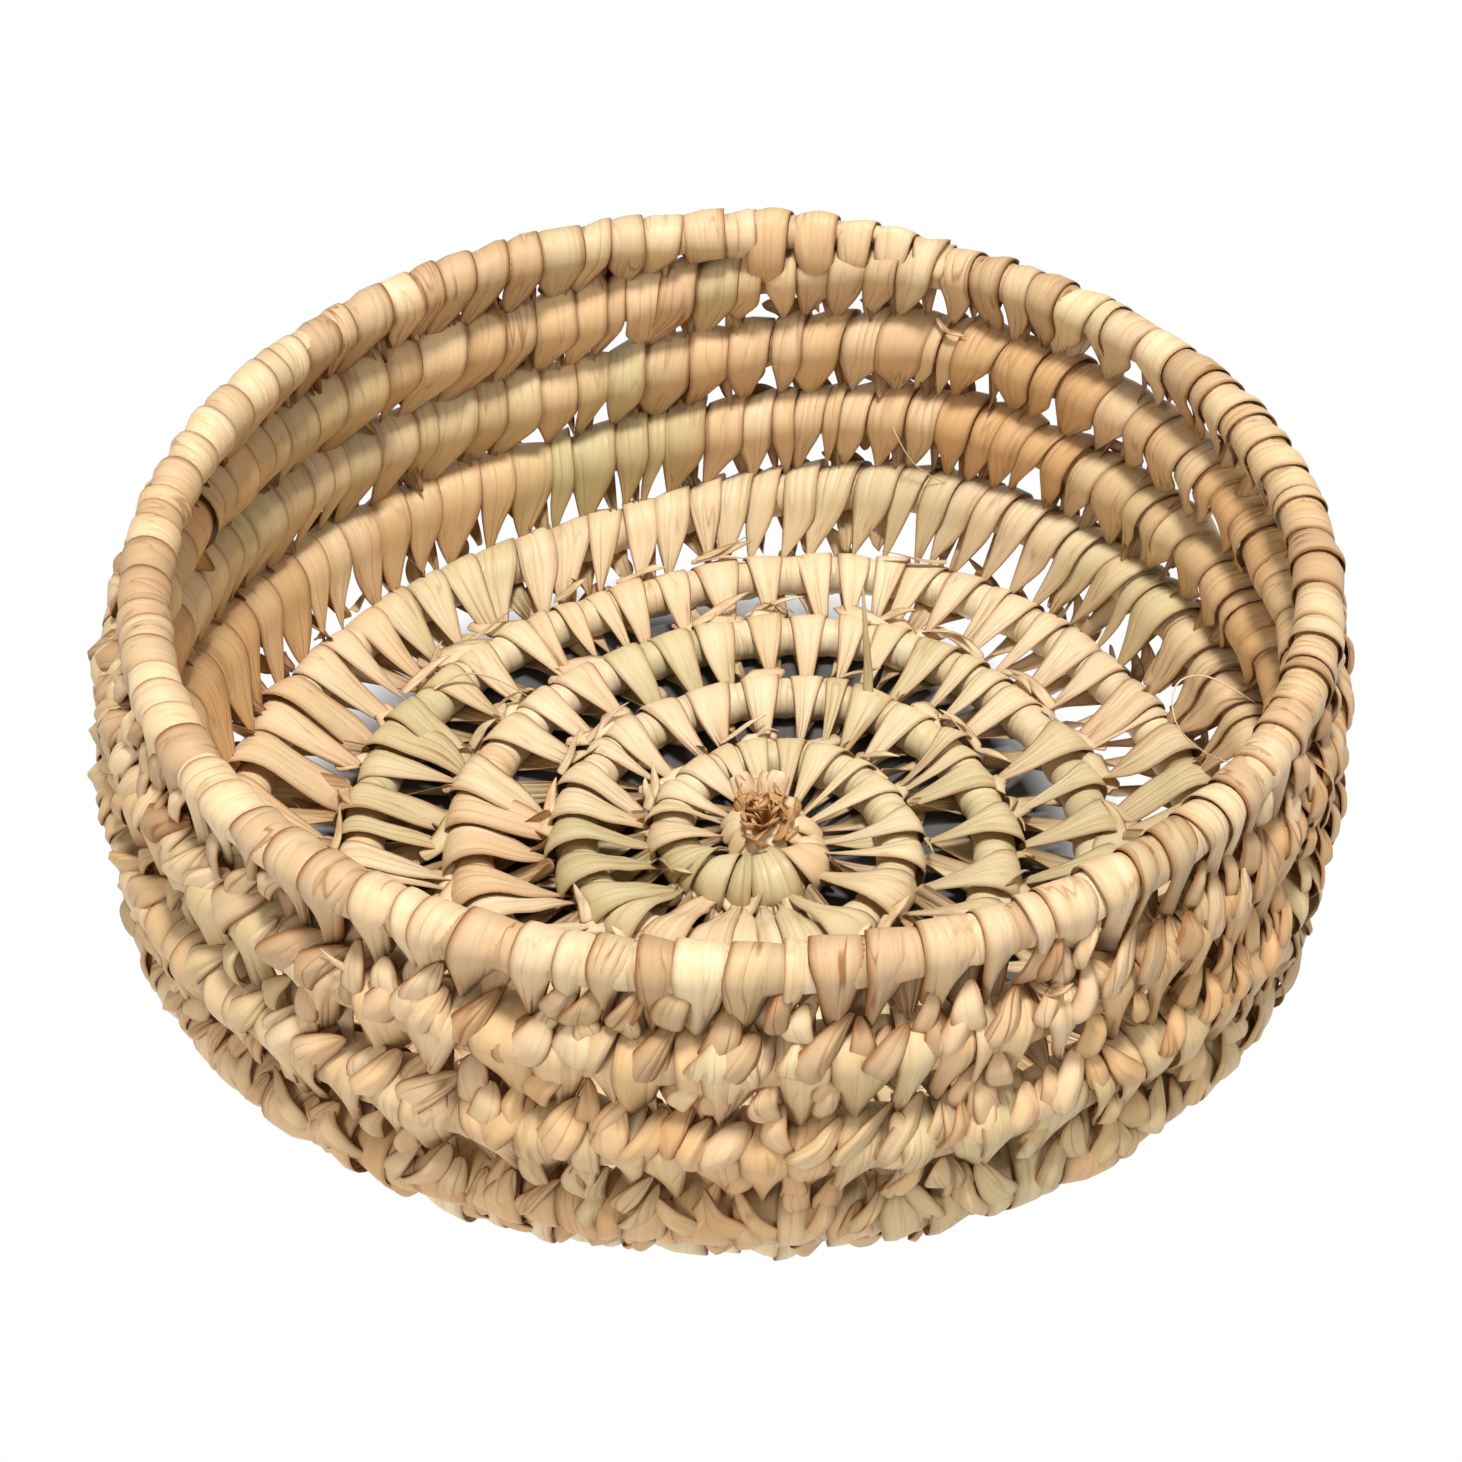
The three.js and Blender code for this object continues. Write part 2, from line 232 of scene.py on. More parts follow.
def turnAt(far):
    return np.interp(far, lengths, turns)


coilTurns = endTurn - coil["startTurn"]
print(f"coil: {lengths[-1] / mm:.0f} mm long, {coilTurns:.2f} turns, pitch {pitch / mm:.2f} mm")


# Shader building: values as expressions, any other node by one call. An input of a node is given by its name,
# with _ for a space, or by its number after an i.
class Shade:
    def __init__(self, nodes, links, socket=None):
        self.nodes = nodes
        self.links = links
        self.socket = socket

    def node(self, kind, settings=None, **inputs):
        made = self.nodes.new(kind)
        for name, value in (settings or {}).items():
            setattr(made, name, value)
        for name, value in inputs.items():
            socket = int(name[1:]) if name[0] == "i" and name[1:].isdigit() else name.replace("_", " ")
            self.feed(made.inputs[socket], value)
        return made

    def feed(self, socket, value):
        if isinstance(value, Shade):
            self.links.new(value.socket, socket)
        elif isinstance(value, bpy.types.NodeSocket):
            self.links.new(value, socket)
        else:
            socket.default_value = value

    def out(self, socket):
        return Shade(self.nodes, self.links, socket)

    def maths(self, operation, *values):
        inputs = {f"i{k}": value for k, value in enumerate(values)}
        made = self.node("ShaderNodeMath", {"operation": operation}, **inputs)
        return self.out(made.outputs[0])

    def __add__(self, other):
        return self.maths("ADD", self, other)

    def __sub__(self, other):
        return self.maths("SUBTRACT", self, other)

    def __mul__(self, other):
        return self.maths("MULTIPLY", self, other)

    def __rsub__(self, other):
        return self.maths("SUBTRACT", other, self)

    __radd__ = __add__
    __rmul__ = __mul__

    def clamp(self):
        made = self.maths("ADD", self, 0.0)
        made.socket.node.use_clamp = True
        return made

    # More contrast: the value times a gain, less what is taken off, kept from 0 to 1
    def contrast(self, gain, off):
        return (self * gain - off).clamp()

    def mix(self, factor, a, b):
        made = self.node("ShaderNodeMix", {"data_type": "RGBA", "blend_type": "MIX", "clamp_factor": True})
        self.feed(made.inputs[0], factor)
        self.feed(made.inputs[6], a)
        self.feed(made.inputs[7], b)
        return self.out(made.outputs[2])


leafLook = {
    "straw": (0.77, 0.57, 0.325, 1),
    "pale": (0.88, 0.735, 0.51, 1),
    "rose": (0.66, 0.385, 0.165, 1),
    "green": (0.53, 0.47, 0.235, 1),
    "brown": (0.27, 0.115, 0.035, 1),
    "noises": {  # scale across and along the leaf, detail and roughness of each
        "veins": ((17.0, 0.4, 1), 2.0, 0.6),
        "folds": ((2.3, 0.25, 1), 1.0, 0.5),
        "streaks": ((2.6, 0.25, 1), 3.0, 0.5),
        "patches": ((0.8, 0.55, 1), 3.0, 0.5),
        "specks": ((26.0, 9.0, 1), 2.0, 0.5),
    },
    "paleStreaks": (1.7, 0.35),  # gain, and what is taken off, of the contrast
    "brownVeins": (2.6, 1.4),
    "creasedPatches": (4.0, 1.7),
    "rosePatches": (3.0, 1.7),
    "brownSpecks": (5.0, 3.6),
    "veinStrength": 0.22,
    "roseStrength": 0.3,
    "speckStrength": 0.35,
    "greenInPatches": (0.9, 0.5),  # gain, and the least
    "creaseSharpness": 26.0,
    # brown fold lines, deeper where the leaf is darker, so also where its darkness holds painted shade
    "creaseStrength": (2.0, 0.35),  # more of it on dark leaf
    # brown towards the leaf's edge: its own edge colour, with painted shadow lines between bands
    "edgePower": 5.0,
    "edgeBrownAndShadowGain": 0.6,
    "foldSharpness": 6.0,
    "relief": {"veins": 0.25, "folds": 0.7, "streaks": 0.5},
    "bumpStrength": 0.6,
    "bumpDistance": 0.6 * mm,
    "roughness": 0.44,
    "streakRoughness": 0.2,
    "darkRoughness": 0.25,
    "specular": 0.3,
}


# Dried leaf. The piece's UV map runs across and along the leaf, in centimetres. Its leafTone attribute
# holds greenness, rosiness, darkness and nearness to the leaf's edge. The darkness is the leaf's own tone
# with painted shade added: at ribbon ends in the hollows between rounds, and on the core along the wall.
# Near the edge the leaf is browned, its own edge colour with painted shadow lines between bands.
def leafMaterial(name):
    look = leafLook
    material = bpy.data.materials.new(name)
    material.use_nodes = True
    tree = material.node_tree
    tree.nodes.clear()
    shade = Shade(tree.nodes, tree.links)
    tone = shade.node("ShaderNodeAttribute", {"attribute_name": "leafTone"})
    parts = shade.node("ShaderNodeSeparateColor", Color=tone.outputs["Color"])
    green, rose, dark = (shade.out(parts.outputs[k]) for k in range(3))
    edge = shade.out(tone.outputs["Alpha"])
    leafMap = shade.node("ShaderNodeUVMap", {"uv_map": "leafMap"}).outputs[0]
    noises = []
    for scale, detail, roughness in look["noises"].values():
        mapping = shade.node("ShaderNodeMapping", Vector=leafMap, Scale=scale)
        made = shade.node("ShaderNodeTexNoise", {"noise_dimensions": "2D"}, Vector=mapping.outputs[0],
                          Scale=1.0, Detail=detail, Roughness=roughness)
        noises.append(shade.out(made.outputs["Fac"]))
    veins, folds, streaks, patches, specks = noises
    line = shade.maths("ABSOLUTE", folds - 0.5)
    crease = (1.0 - line * look["creaseSharpness"]).clamp() * patches.contrast(*look["creasedPatches"])
    greenGain, greenLeast = look["greenInPatches"]
    creaseGain, creaseLeast = look["creaseStrength"]
    edgeBrownAndShadowLines = shade.maths("POWER", edge, look["edgePower"]) * look["edgeBrownAndShadowGain"]
    colour = look["straw"]
    # Each layer's share, and the colour that it brings
    for share, shown in (
            (streaks.contrast(*look["paleStreaks"]), "pale"),
            (rose, "rose"),
            ((green * (patches * greenGain + greenLeast)).clamp(), "green"),
            (veins.contrast(*look["brownVeins"]) * look["veinStrength"], "brown"),
            ((crease * (dark * creaseGain + creaseLeast)).clamp(), "brown"),
            (patches.contrast(*look["rosePatches"]) * look["roseStrength"], "rose"),
            (specks.contrast(*look["brownSpecks"]) * look["speckStrength"], "brown"),
            # brown at the edge, with painted shadow lines, and by darkness, with painted shade
            ((edgeBrownAndShadowLines + dark).clamp(), "brown")):
        colour = shade.mix(share, colour, look[shown])
    relief = look["relief"]
    folded = (line * look["foldSharpness"]).clamp()
    height = veins * relief["veins"] + folded * relief["folds"] + streaks * relief["streaks"]
    bump = shade.node("ShaderNodeBump", Strength=look["bumpStrength"], Distance=look["bumpDistance"],
                      Height=height)
    roughness = look["roughness"] + (streaks - 0.5) * look["streakRoughness"] + dark * look["darkRoughness"]
    shader = shade.node("ShaderNodeBsdfPrincipled", Base_Color=colour, Roughness=roughness,
                        Normal=bump.outputs[0], Specular_IOR_Level=look["specular"])
    shade.node("ShaderNodeOutputMaterial", Surface=shader.outputs[0])
    return material


leafStrip = leafMaterial("palm leaf strip")

# How each ribbon of leaf is darkened towards its ends with painted shade, folded and mapped
ribbonLook = {
    "darkFrom": 0.55,  # share of the way to an end, where it starts to darken
    "ridgeCrease": 0.75,
    "mapUnit": 0.01,
    "mapStarts": (0, 9),  # a map starts anywhere here, so that no two ribbons look alike
    "mapShift": 0.37,  # of that start, also across the leaf
    "ridges": (1, 2, 2, 3),  # columns that a fold may run along
}


# One mesh that leaf is added to, ribbon by ribbon
class LeafMesh:
    def __init__(self, name):
        self.name = name
        self.mesh = bmesh.new()
        self.uv = self.mesh.loops.layers.uv.new("leafMap")
        self.tone = self.mesh.verts.layers.float_color.new("leafTone")
        self.crease = self.mesh.edges.layers.float.new("crease_edge")

    # A ribbon is a grid whose own x, from -0.5 to 0.5, runs across the leaf, and y, from 0 to 1, along it.
    # The tone is greenness, rosiness, darkness and extra darkness at the two ends, painted shade where the
    # ends lie in the hollows between rounds.
    def ribbon(self, columns, rows, shape, tone, leafWidth, leafLength, start, slanted=0.0, ridge=None):
        made = bmesh.ops.create_grid(self.mesh, x_segments=columns, y_segments=rows, size=0.5)
        verts = made["verts"]
        across = np.array([v.co.x for v in verts])
        along = np.array([v.co.y for v in verts]) + 0.5
        points = shape(across, along)
        green, rose, dark, ends = tone
        darkFrom, unitLength = ribbonLook["darkFrom"], ribbonLook["mapUnit"]
        where = {}
        for v, co, a, b in zip(verts, points, across, along):
            v.co = co
            # painted shade: darker towards the two ends
            tip = ends * max(0.0, abs(2 * b - 1) - darkFrom) / (1 - darkFrom)
            v[self.tone] = (green, rose, dark + tip, abs(2 * a))
            mapAcross = a * leafWidth + b * slanted + start * ribbonLook["mapShift"]
            where[v] = (mapAcross / unitLength, (b * leafLength + start) / unitLength)
        if ridge is not None:
            line = verts[ridge::columns + 1]
            for a, b in zip(line, line[1:]):
                self.mesh.edges.get((a, b))[self.crease] = ribbonLook["ridgeCrease"]
        for face in {f for v in verts for f in v.link_faces}:
            face.smooth = True
            for loop in face.loops:
                loop[self.uv].uv = where[loop.vert]
        return verts

    def finish(self, material, thickness=0.0, soften=1):
        data = bpy.data.meshes.new(self.name)
        self.mesh.to_mesh(data)
        self.mesh.free()
        piece = bpy.data.objects.new(self.name, data)
        bpy.context.scene.collection.objects.link(piece)
        data.materials.append(material)
        if thickness:
            wall = piece.modifiers.new("leaf thickness", "SOLIDIFY")
            wall.thickness = thickness
            wall.offset = -1
        if soften:
            subdivision = piece.modifiers.new("soft bends", "SUBSURF")
            subdivision.levels = soften
            subdivision.render_levels = soften
        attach(piece, "root")
        return piece


# Where each strip of the solids starts and ends along the coil, worked out as the solids do it
strips = {
    "stitchPitch": 27 * mm,
    "steepestStep": 1 / 16,
    "floor": 16,  # strips in each region
    "wall": 20,
    "rim": 6,
}


def stripRanges():
    at = [coil["startTurn"]]
    while at[-1] < endTurn:
        x, y, _ = coilPoints(np.array([at[-1]]))[0]
        step = strips["stitchPitch"] / 2 / (2 * math.pi * math.hypot(x, y))
        at.append(at[-1] + min(step, strips["steepestStep"]))
    if len(at) % 2 == 0:
        at.append(2 * at[-1] - at[-2])
    at = np.array(at)
    startTurn = coil["startTurn"]
    at = startTurn + (at - startTurn) * (endTurn - startTurn) / (at[-1] - startTurn)
    wallTurn = round((coil["floorRadius"] + coil["footRadius"]) / 2 / pitch) + coil["climbStart"]
    lastClimb = rimTurn - 1 + coil["climbLength"]
    edges = {"floor": (startTurn, wallTurn), "wall": (wallTurn, lastClimb), "rim": (lastClimb, endTurn)}
    found = {}
    for name, turnEnds in edges.items():
        first, last = (int(np.searchsorted(at, turn + 1e-9, side="right")) - 1 for turn in turnEnds)
        first, last = first - first % 2, last - last % 2
        cuts = [first + 2 * round((last - first) / 2 * k / strips[name]) for k in range(strips[name] + 1)]
        for k in range(strips[name]):
            found[f"{name}_binding_{k + 1:02d}"] = (at[cuts[k]], at[cuts[k + 1]])
    return found


ranges = stripRanges()
missing = [name for name in ranges if name not in frame["nodes"]]
print(f"strips: {len(ranges)} of leaf, not in the solids: {missing}")

# Tones of the leaf along the coil: green and rosy leaves come in runs of a few stitches
tones = {
    "seed": 5,
    "runLength": 42 * mm,
    "runJitter": 0.3,
    "greenChance": 0.12,
    "greenRun": (0.25, 0.6),
    "plainRun": (0, 0.15),
    "roseShades": (0, 0.1, 0.25, 0.5, 0.8),
    "roseOnGreen": 0.3,
    "darkRun": (0, 0.06),
    "stretchSoftness": 1.3,  # how far a green stretch fades out past its end
    "stretchGain": 1.6,
    "stretchStrength": (0.7, 1.1),
    "roseLostToGreen": 0.8,
    "greenSpread": (-0.12, 0.1),
    "roseSpread": (-0.25, 0.3),
    "roseShare": (0.42, 0.75),  # on the floor and on the wall
    "roseOnWall": 0.47,
    "roseMost": 0.9,
    "roseLostOnRim": 0.45,
    "wallFrom": 5,  # turns of the coil
    "rimFrom": 8.1,
    "rimLength": 0.2,
    "darkSpread": (-0.04, 0.07),
    "darkOnWall": 0.08,
    "darkOnRim": 0.37,
}

# Stretches where greener leaf was used: the turn of the coil, half their length in turns, and how green
greenStretches = [
    (0.8, 0.14, 0.85), (1.2, 0.03, 0.6), (1.65, 0.05, 0.6), (1.9, 0.08, 0.75), (2.3, 0.06, 0.6),
    (2.45, 0.1, 0.6), (3.15, 0.04, 0.85), (3.46, 0.08, 0.6), (4.46, 0.06, 0.5), (3.3, 0.05, 0.5),
    (4.0, 0.06, 0.75), (4.74, 0.02, 0.5), (5.27, 0.02, 0.5), (5.37, 0.02, 0.6), (5.58, 0.02, 0.45),
    (6.16, 0.035, 0.85), (6.36, 0.03, 0.45), (6.53, 0.03, 0.55), (6.74, 0.02, 0.4), (6.9, 0.015, 0.45),
    (7.03, 0.03, 0.55), (7.16, 0.02, 0.7), (7.67, 0.015, 0.35), (8.06, 0.03, 0.5), (8.2, 0.007, 0.8),
    (8.59, 0.015, 0.4), (9.15, 0.015, 0.5),
]
toneRandom = random.Random(tones["seed"])
runTones = []
for k in range(int(lengths[-1] / tones["runLength"]) + 2):
    isGreen = toneRandom.random() < tones["greenChance"]
    runTones.append((toneRandom.uniform(*tones["greenRun" if isGreen else "plainRun"]),
                     toneRandom.choice(tones["roseShades"]) * (tones["roseOnGreen"] if isGreen else 1),
                     toneRandom.uniform(*tones["darkRun"])))


def clamped(value, most=1):
    return min(max(value, 0), most)


def toneAt(far, seeded):
    jitter = seeded.uniform(-tones["runJitter"], tones["runJitter"])
    green, rose, dark = runTones[clamped(int(far / tones["runLength"] + jitter), len(runTones) - 1)]
    turn = float(turnAt(far))
    for middle, halfSpan, strength in greenStretches:
        off = abs(turn - middle) / (halfSpan * tones["stretchSoftness"])
        near = float(smooth(tones["stretchGain"] * (1 - off)))
        green = max(green, strength * near * seeded.uniform(*tones["stretchStrength"]))
        rose *= 1 - tones["roseLostToGreen"] * near
    onWall = float(smooth(turn - tones["wallFrom"]))
    onRim = float(smooth((turn - tones["rimFrom"]) / tones["rimLength"]))
    green = clamped(green + seeded.uniform(*tones["greenSpread"]))
    rose = (rose + seeded.uniform(*tones["roseSpread"])) * blendOf(*tones["roseShare"], onWall)
    rose = clamped(rose + tones["roseOnWall"] * onWall, tones["roseMost"])
    rose *= 1 - tones["roseLostOnRim"] * onRim
    least, most = tones["darkSpread"]
    most += tones["darkOnWall"] * onWall + tones["darkOnRim"] * onRim
    return green, rose, max(dark + seeded.uniform(least, most), 0)


# The core bound with plain turns of leaf, which shows between the stitches
boundCore = {
    "seed": 3,
    "under": 0.7 * mm,  # below the solids' own surface
    "ring": 1.7 * mm,
    "around": 22,
    "weld": 0.02 * mm,
    "turnWidths": (5 * mm, 11 * mm),
    "edgeStep": 0.6 * mm,  # of one turn of leaf over the last
    "edgePower": 0.7,
    # darker on the wall: painted shade where the core shows in the hollows between stitches
    "dark": (0.02, 0.3),  # on the floor and on the wall
    "wallEnds": 8.2,  # turn of the coil
    "nearEdge": 0.3,
    "mapStep": 0.2,
}


def coverRadius(far):
    return readAlong(wraps, far) - boundCore["under"]


def makeBoundCore():
    leaf = LeafMesh("bound_core")
    rings = int(lengths[-1] / boundCore["ring"])
    around = boundCore["around"]
    seeded = random.Random(boundCore["seed"])
    cuts = [0.0]
    while cuts[-1] < lengths[-1] + boundCore["turnWidths"][1]:
        cuts.append(cuts[-1] + seeded.uniform(*boundCore["turnWidths"]))
    cuts = np.array(cuts)
    cutTones = [toneAt(c, seeded) for c in cuts]

    def shape(across, along):
        far = along * lengths[-1]
        angle = (across + 0.5) * 2 * math.pi
        k = np.searchsorted(cuts, far, side="right") - 1
        part = (far - cuts[k]) / (cuts[np.minimum(k + 1, len(cuts) - 1)] - cuts[k] + 1e-9)
        step = np.clip(part, 0, 1) ** boundCore["edgePower"] - boundCore["edgePower"]
        radius = coverRadius(far) + boundCore["edgeStep"] * step
        return place(far, -radius * np.cos(angle), -radius * np.sin(angle))

    # The ribbon's own map and tones are written over: the leaf runs across the coil, turn by turn
    verts = leaf.ribbon(around, rings, shape, (0, 0, 0, 0), 0, lengths[-1], 0)
    columns = around + 1
    for index, v in enumerate(verts):
        far = (index // columns) / rings * lengths[-1]
        for loop in v.link_loops:
            loop[leaf.uv].uv = (far / ribbonLook["mapUnit"], index % columns * boundCore["mapStep"])
        k = min(int(np.searchsorted(cuts, far, side="right")) - 1, len(cutTones) - 1)
        turn = float(turnAt(far))
        # painted shade on the core all up the wall, which stops at the rim
        pastWall = float(smooth((turn - boundCore["wallEnds"]) / tones["rimLength"]))
        onWall = float(smooth(turn - tones["wallFrom"])) * (1 - pastWall)
        green, rose, dark = cutTones[k]
        v[leaf.tone] = (green, rose, dark + blendOf(*boundCore["dark"], onWall), boundCore["nearEdge"])
    bmesh.ops.remove_doubles(leaf.mesh, verts=leaf.mesh.verts, dist=boundCore["weld"])
    bmesh.ops.holes_fill(leaf.mesh, edges=[e for e in leaf.mesh.edges if e.is_boundary], sides=around + 2)
    piece = leaf.finish(leafStrip, soften=0)
    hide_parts("foundation_core")


# One stitch's band. It comes up from its inside tip, hugs its round over the top and narrows again to its
# outside tip. Tips lie on the round before inside, and just over it outside.
bands = {
    "firstSeed": 100,  # of the first strip, the next one has the next
    "widths": {  # least and most width, and how many of the bands have it
        "floor": ((5 * mm, 7.5 * mm, 0.2), (8.5 * mm, 11 * mm, 0.5), (11 * mm, 13 * mm, 0.3)),
        "saddle": ((6 * mm, 8.5 * mm, 0.2), (10 * mm, 13 * mm, 0.5), (13 * mm, 16 * mm, 0.3)),
        "shell": ((8 * mm, 10 * mm, 0.2), (11 * mm, 14 * mm, 0.5), (14 * mm, 17 * mm, 0.3)),
        "wall": ((5.5 * mm, 8 * mm, 0.18), (9 * mm, 12 * mm, 0.44), (12 * mm, 15.5 * mm, 0.38)),
        "rim": ((5 * mm, 7 * mm, 0.15), (8 * mm, 11 * mm, 0.45), (11 * mm, 13.5 * mm, 0.4)),
    },
    "firstWidths": (0.6, 0.7),  # share of the widths at the knot, and the turn from which they grow
    "spacing": {"floor": 1.3, "saddle": 0.96, "shell": 1.22, "wall": 0.98, "rim": 1.0},  # in band widths
    "spacingMost": (2, 0.95),  # in the middle of the floor and near the foot
    "overlap": 1.12,  # most width, as a share of the spacing
    "footFrom": 3.4,  # turn of the coil from which bands lie as near the foot
    "footLength": 1.2,
    # Degrees round the coil, from its top, where a band leaves it
    "leave": {"floor": (108, 128), "saddle": (118, 144), "shell": (104, 128), "wall": (126, 148),
              "rim": (126, 146)},
    "leaveFront": 10,  # more at the front of the floor
    # How much higher one edge lies than the other, and the share of it by which the whole width is lifted
    "tilt": {"floor": (0.5 * mm, 1.3 * mm), "saddle": (1.8 * mm, 4.2 * mm), "shell": (1.2 * mm, 3.4 * mm),
             "wall": (0.8 * mm, 2.6 * mm), "rim": (0.7 * mm, 1.8 * mm)},
    "tiltOfAll": 0.42,
    "crown": (0.05 * mm, 0.4 * mm),
    "skew": {"floor": (-0.7, 0.7), "saddle": (-0.9, 0.3), "shell": (-0.6, 0.6), "wall": (-1.0, 0.2),
             "rim": (-0.9, 0.5)},
    "twist": (-1.2, 1.2),
    "twistHeight": 0.7,
    "tip": {"floor": (0.3, 0.5), "saddle": (0.26, 0.46), "shell": (0.12, 0.3), "wall": (0.08, 0.3),
            "rim": (0.12, 0.34)},
    "tipFoot": 0.35,  # more near the foot
    "taperFrom": {"floor": (0.34, 0.54), "saddle": (0.46, 0.66), "shell": (0.32, 0.48), "wall": (0.42, 0.64),
                  "rim": (0.5, 0.7)},
    "taperLater": (0.16, 0.88),  # on the left and near the foot, and the latest
    "taperPower": {"floor": (0.85, 1.2), "saddle": (0.95, 1.5), "shell": (0.8, 1.1), "wall": (0.7, 1.15),
                   "rim": (0.85, 1.5)},
    "outside": {  # the same for a band's outer half
        "leave": (88, 104),
        "crown": (1.2 * mm, 2.4 * mm),
        "crownWidth": 11 * mm,  # of a band that has this crown
        "crownAt": (0.4, 1.8),  # its share on the round, and how much more at the tip
        "skew": (-0.5, 0.5),
        "twist": (-0.6, 0.6),
        "tip": (0.25, 0.55),
        "tipBack": 0.4,  # share left of it at the back
        "taperFrom": {"floor": (0.1, 0.5), "saddle": (0.1, 0.5), "shell": (0.1, 0.5), "wall": (0.2, 0.55),
                      "rim": (0.2, 0.5)},
        "taperPower": (0.9, 1.5),
        "lean": (-1.5 * mm, 5 * mm),
        "leanBack": 5 * mm,
        # The tip ends short of the round before's middle by this share of its radius, and a spread
        "short": (0.95, -1 * mm, 1.5 * mm),
        "tipInner": (0.15, 0.5),
    },
    "wave": (2.2, 0.4 * mm, 6.28),  # how fast and how far a band wavers, and the latest start of it
    "settle": (0.8, 1.0),  # power of the way to the round before, inside and outside
    "arcShare": 0.53,  # of the way, where the band hugs its round
    "bend": (-0.5 * mm, 0.5 * mm),  # sideways, on the way to the round before
    "saddleBend": (-0.5 * mm, 3.5 * mm),
    # How far a tip goes under the round before, and how many degrees round it from its top
    "tuck": {"floor": 0, "saddle": 0.3 * mm, "shell": 0, "wall": 1.0 * mm, "rim": 1.0 * mm},
    "tipAngle": {"floor": (-8, 18), "saddle": (-22, 10), "shell": (0, 26), "wall": (-12, 8), "rim": (-12, 8)},
    "lean": {"floor": (-2 * mm, 3.5 * mm), "saddle": (2 * mm, 14 * mm), "shell": (5 * mm, 14 * mm),
             "wall": (5 * mm, 10.5 * mm), "rim": (-1 * mm, 6.5 * mm)},
    "leanSpread": 2 * mm,
    "hands": (1, 1, 1, 1, -1),  # which edge is lifted, on the wall and at the floor's back
    "lift": {"floor": 0.9 * mm, "saddle": 1.3 * mm, "shell": 1.3 * mm, "wall": 1.3 * mm, "rim": 0.6 * mm},
    "liftSpread": (0.7, 1.4),
    "clearance": 0.6 * mm,  # over the round before
    "leastDown": (0.4, 0.3),  # of a tip, inside and outside, as shares of the radius
    "backSector": 0.4,  # sine of the azimuth over which the floor's bands lie as flat wedges
    "rightSector": 0.3,  # cosine of the azimuth over which they lie as shells
    "frontSector": (0.5, 0.35),  # sine from which they lie as at the front, and how softly that begins
    "sectorJitter": 0.3,
    "backGain": 2,
    "thickness": 0.42 * mm,
    # painted shade at the tips, which lie in the hollows by the round before
    "darkEnds": 0.3,
    "mapLength": 0.06,
    "columns": 4,
    "rows": 14,
}


# Which way a place on the coil lies from the knot: how far to the right and to the back, as shares
def facingAt(far):
    x, y, _ = readAlong(centres, far) - knotCentre
    return x / math.hypot(x, y), y / math.hypot(x, y)


def jittered(share, seeded):
    return share + seeded.uniform(-bands["sectorJitter"], bands["sectorJitter"])


# How a band lies: on the floor as a flat wedge at the back, as a bulging saddle at the front and left, and at
# the right as a shell, wide over its round and straight to its tip
def styleAt(far, region, seeded):
    if region != "floor":
        return region
    right, back = facingAt(far)
    if jittered(back, seeded) > bands["backSector"]:
        return "floor"
    return "shell" if jittered(right, seeded) > bands["rightSector"] else "saddle"


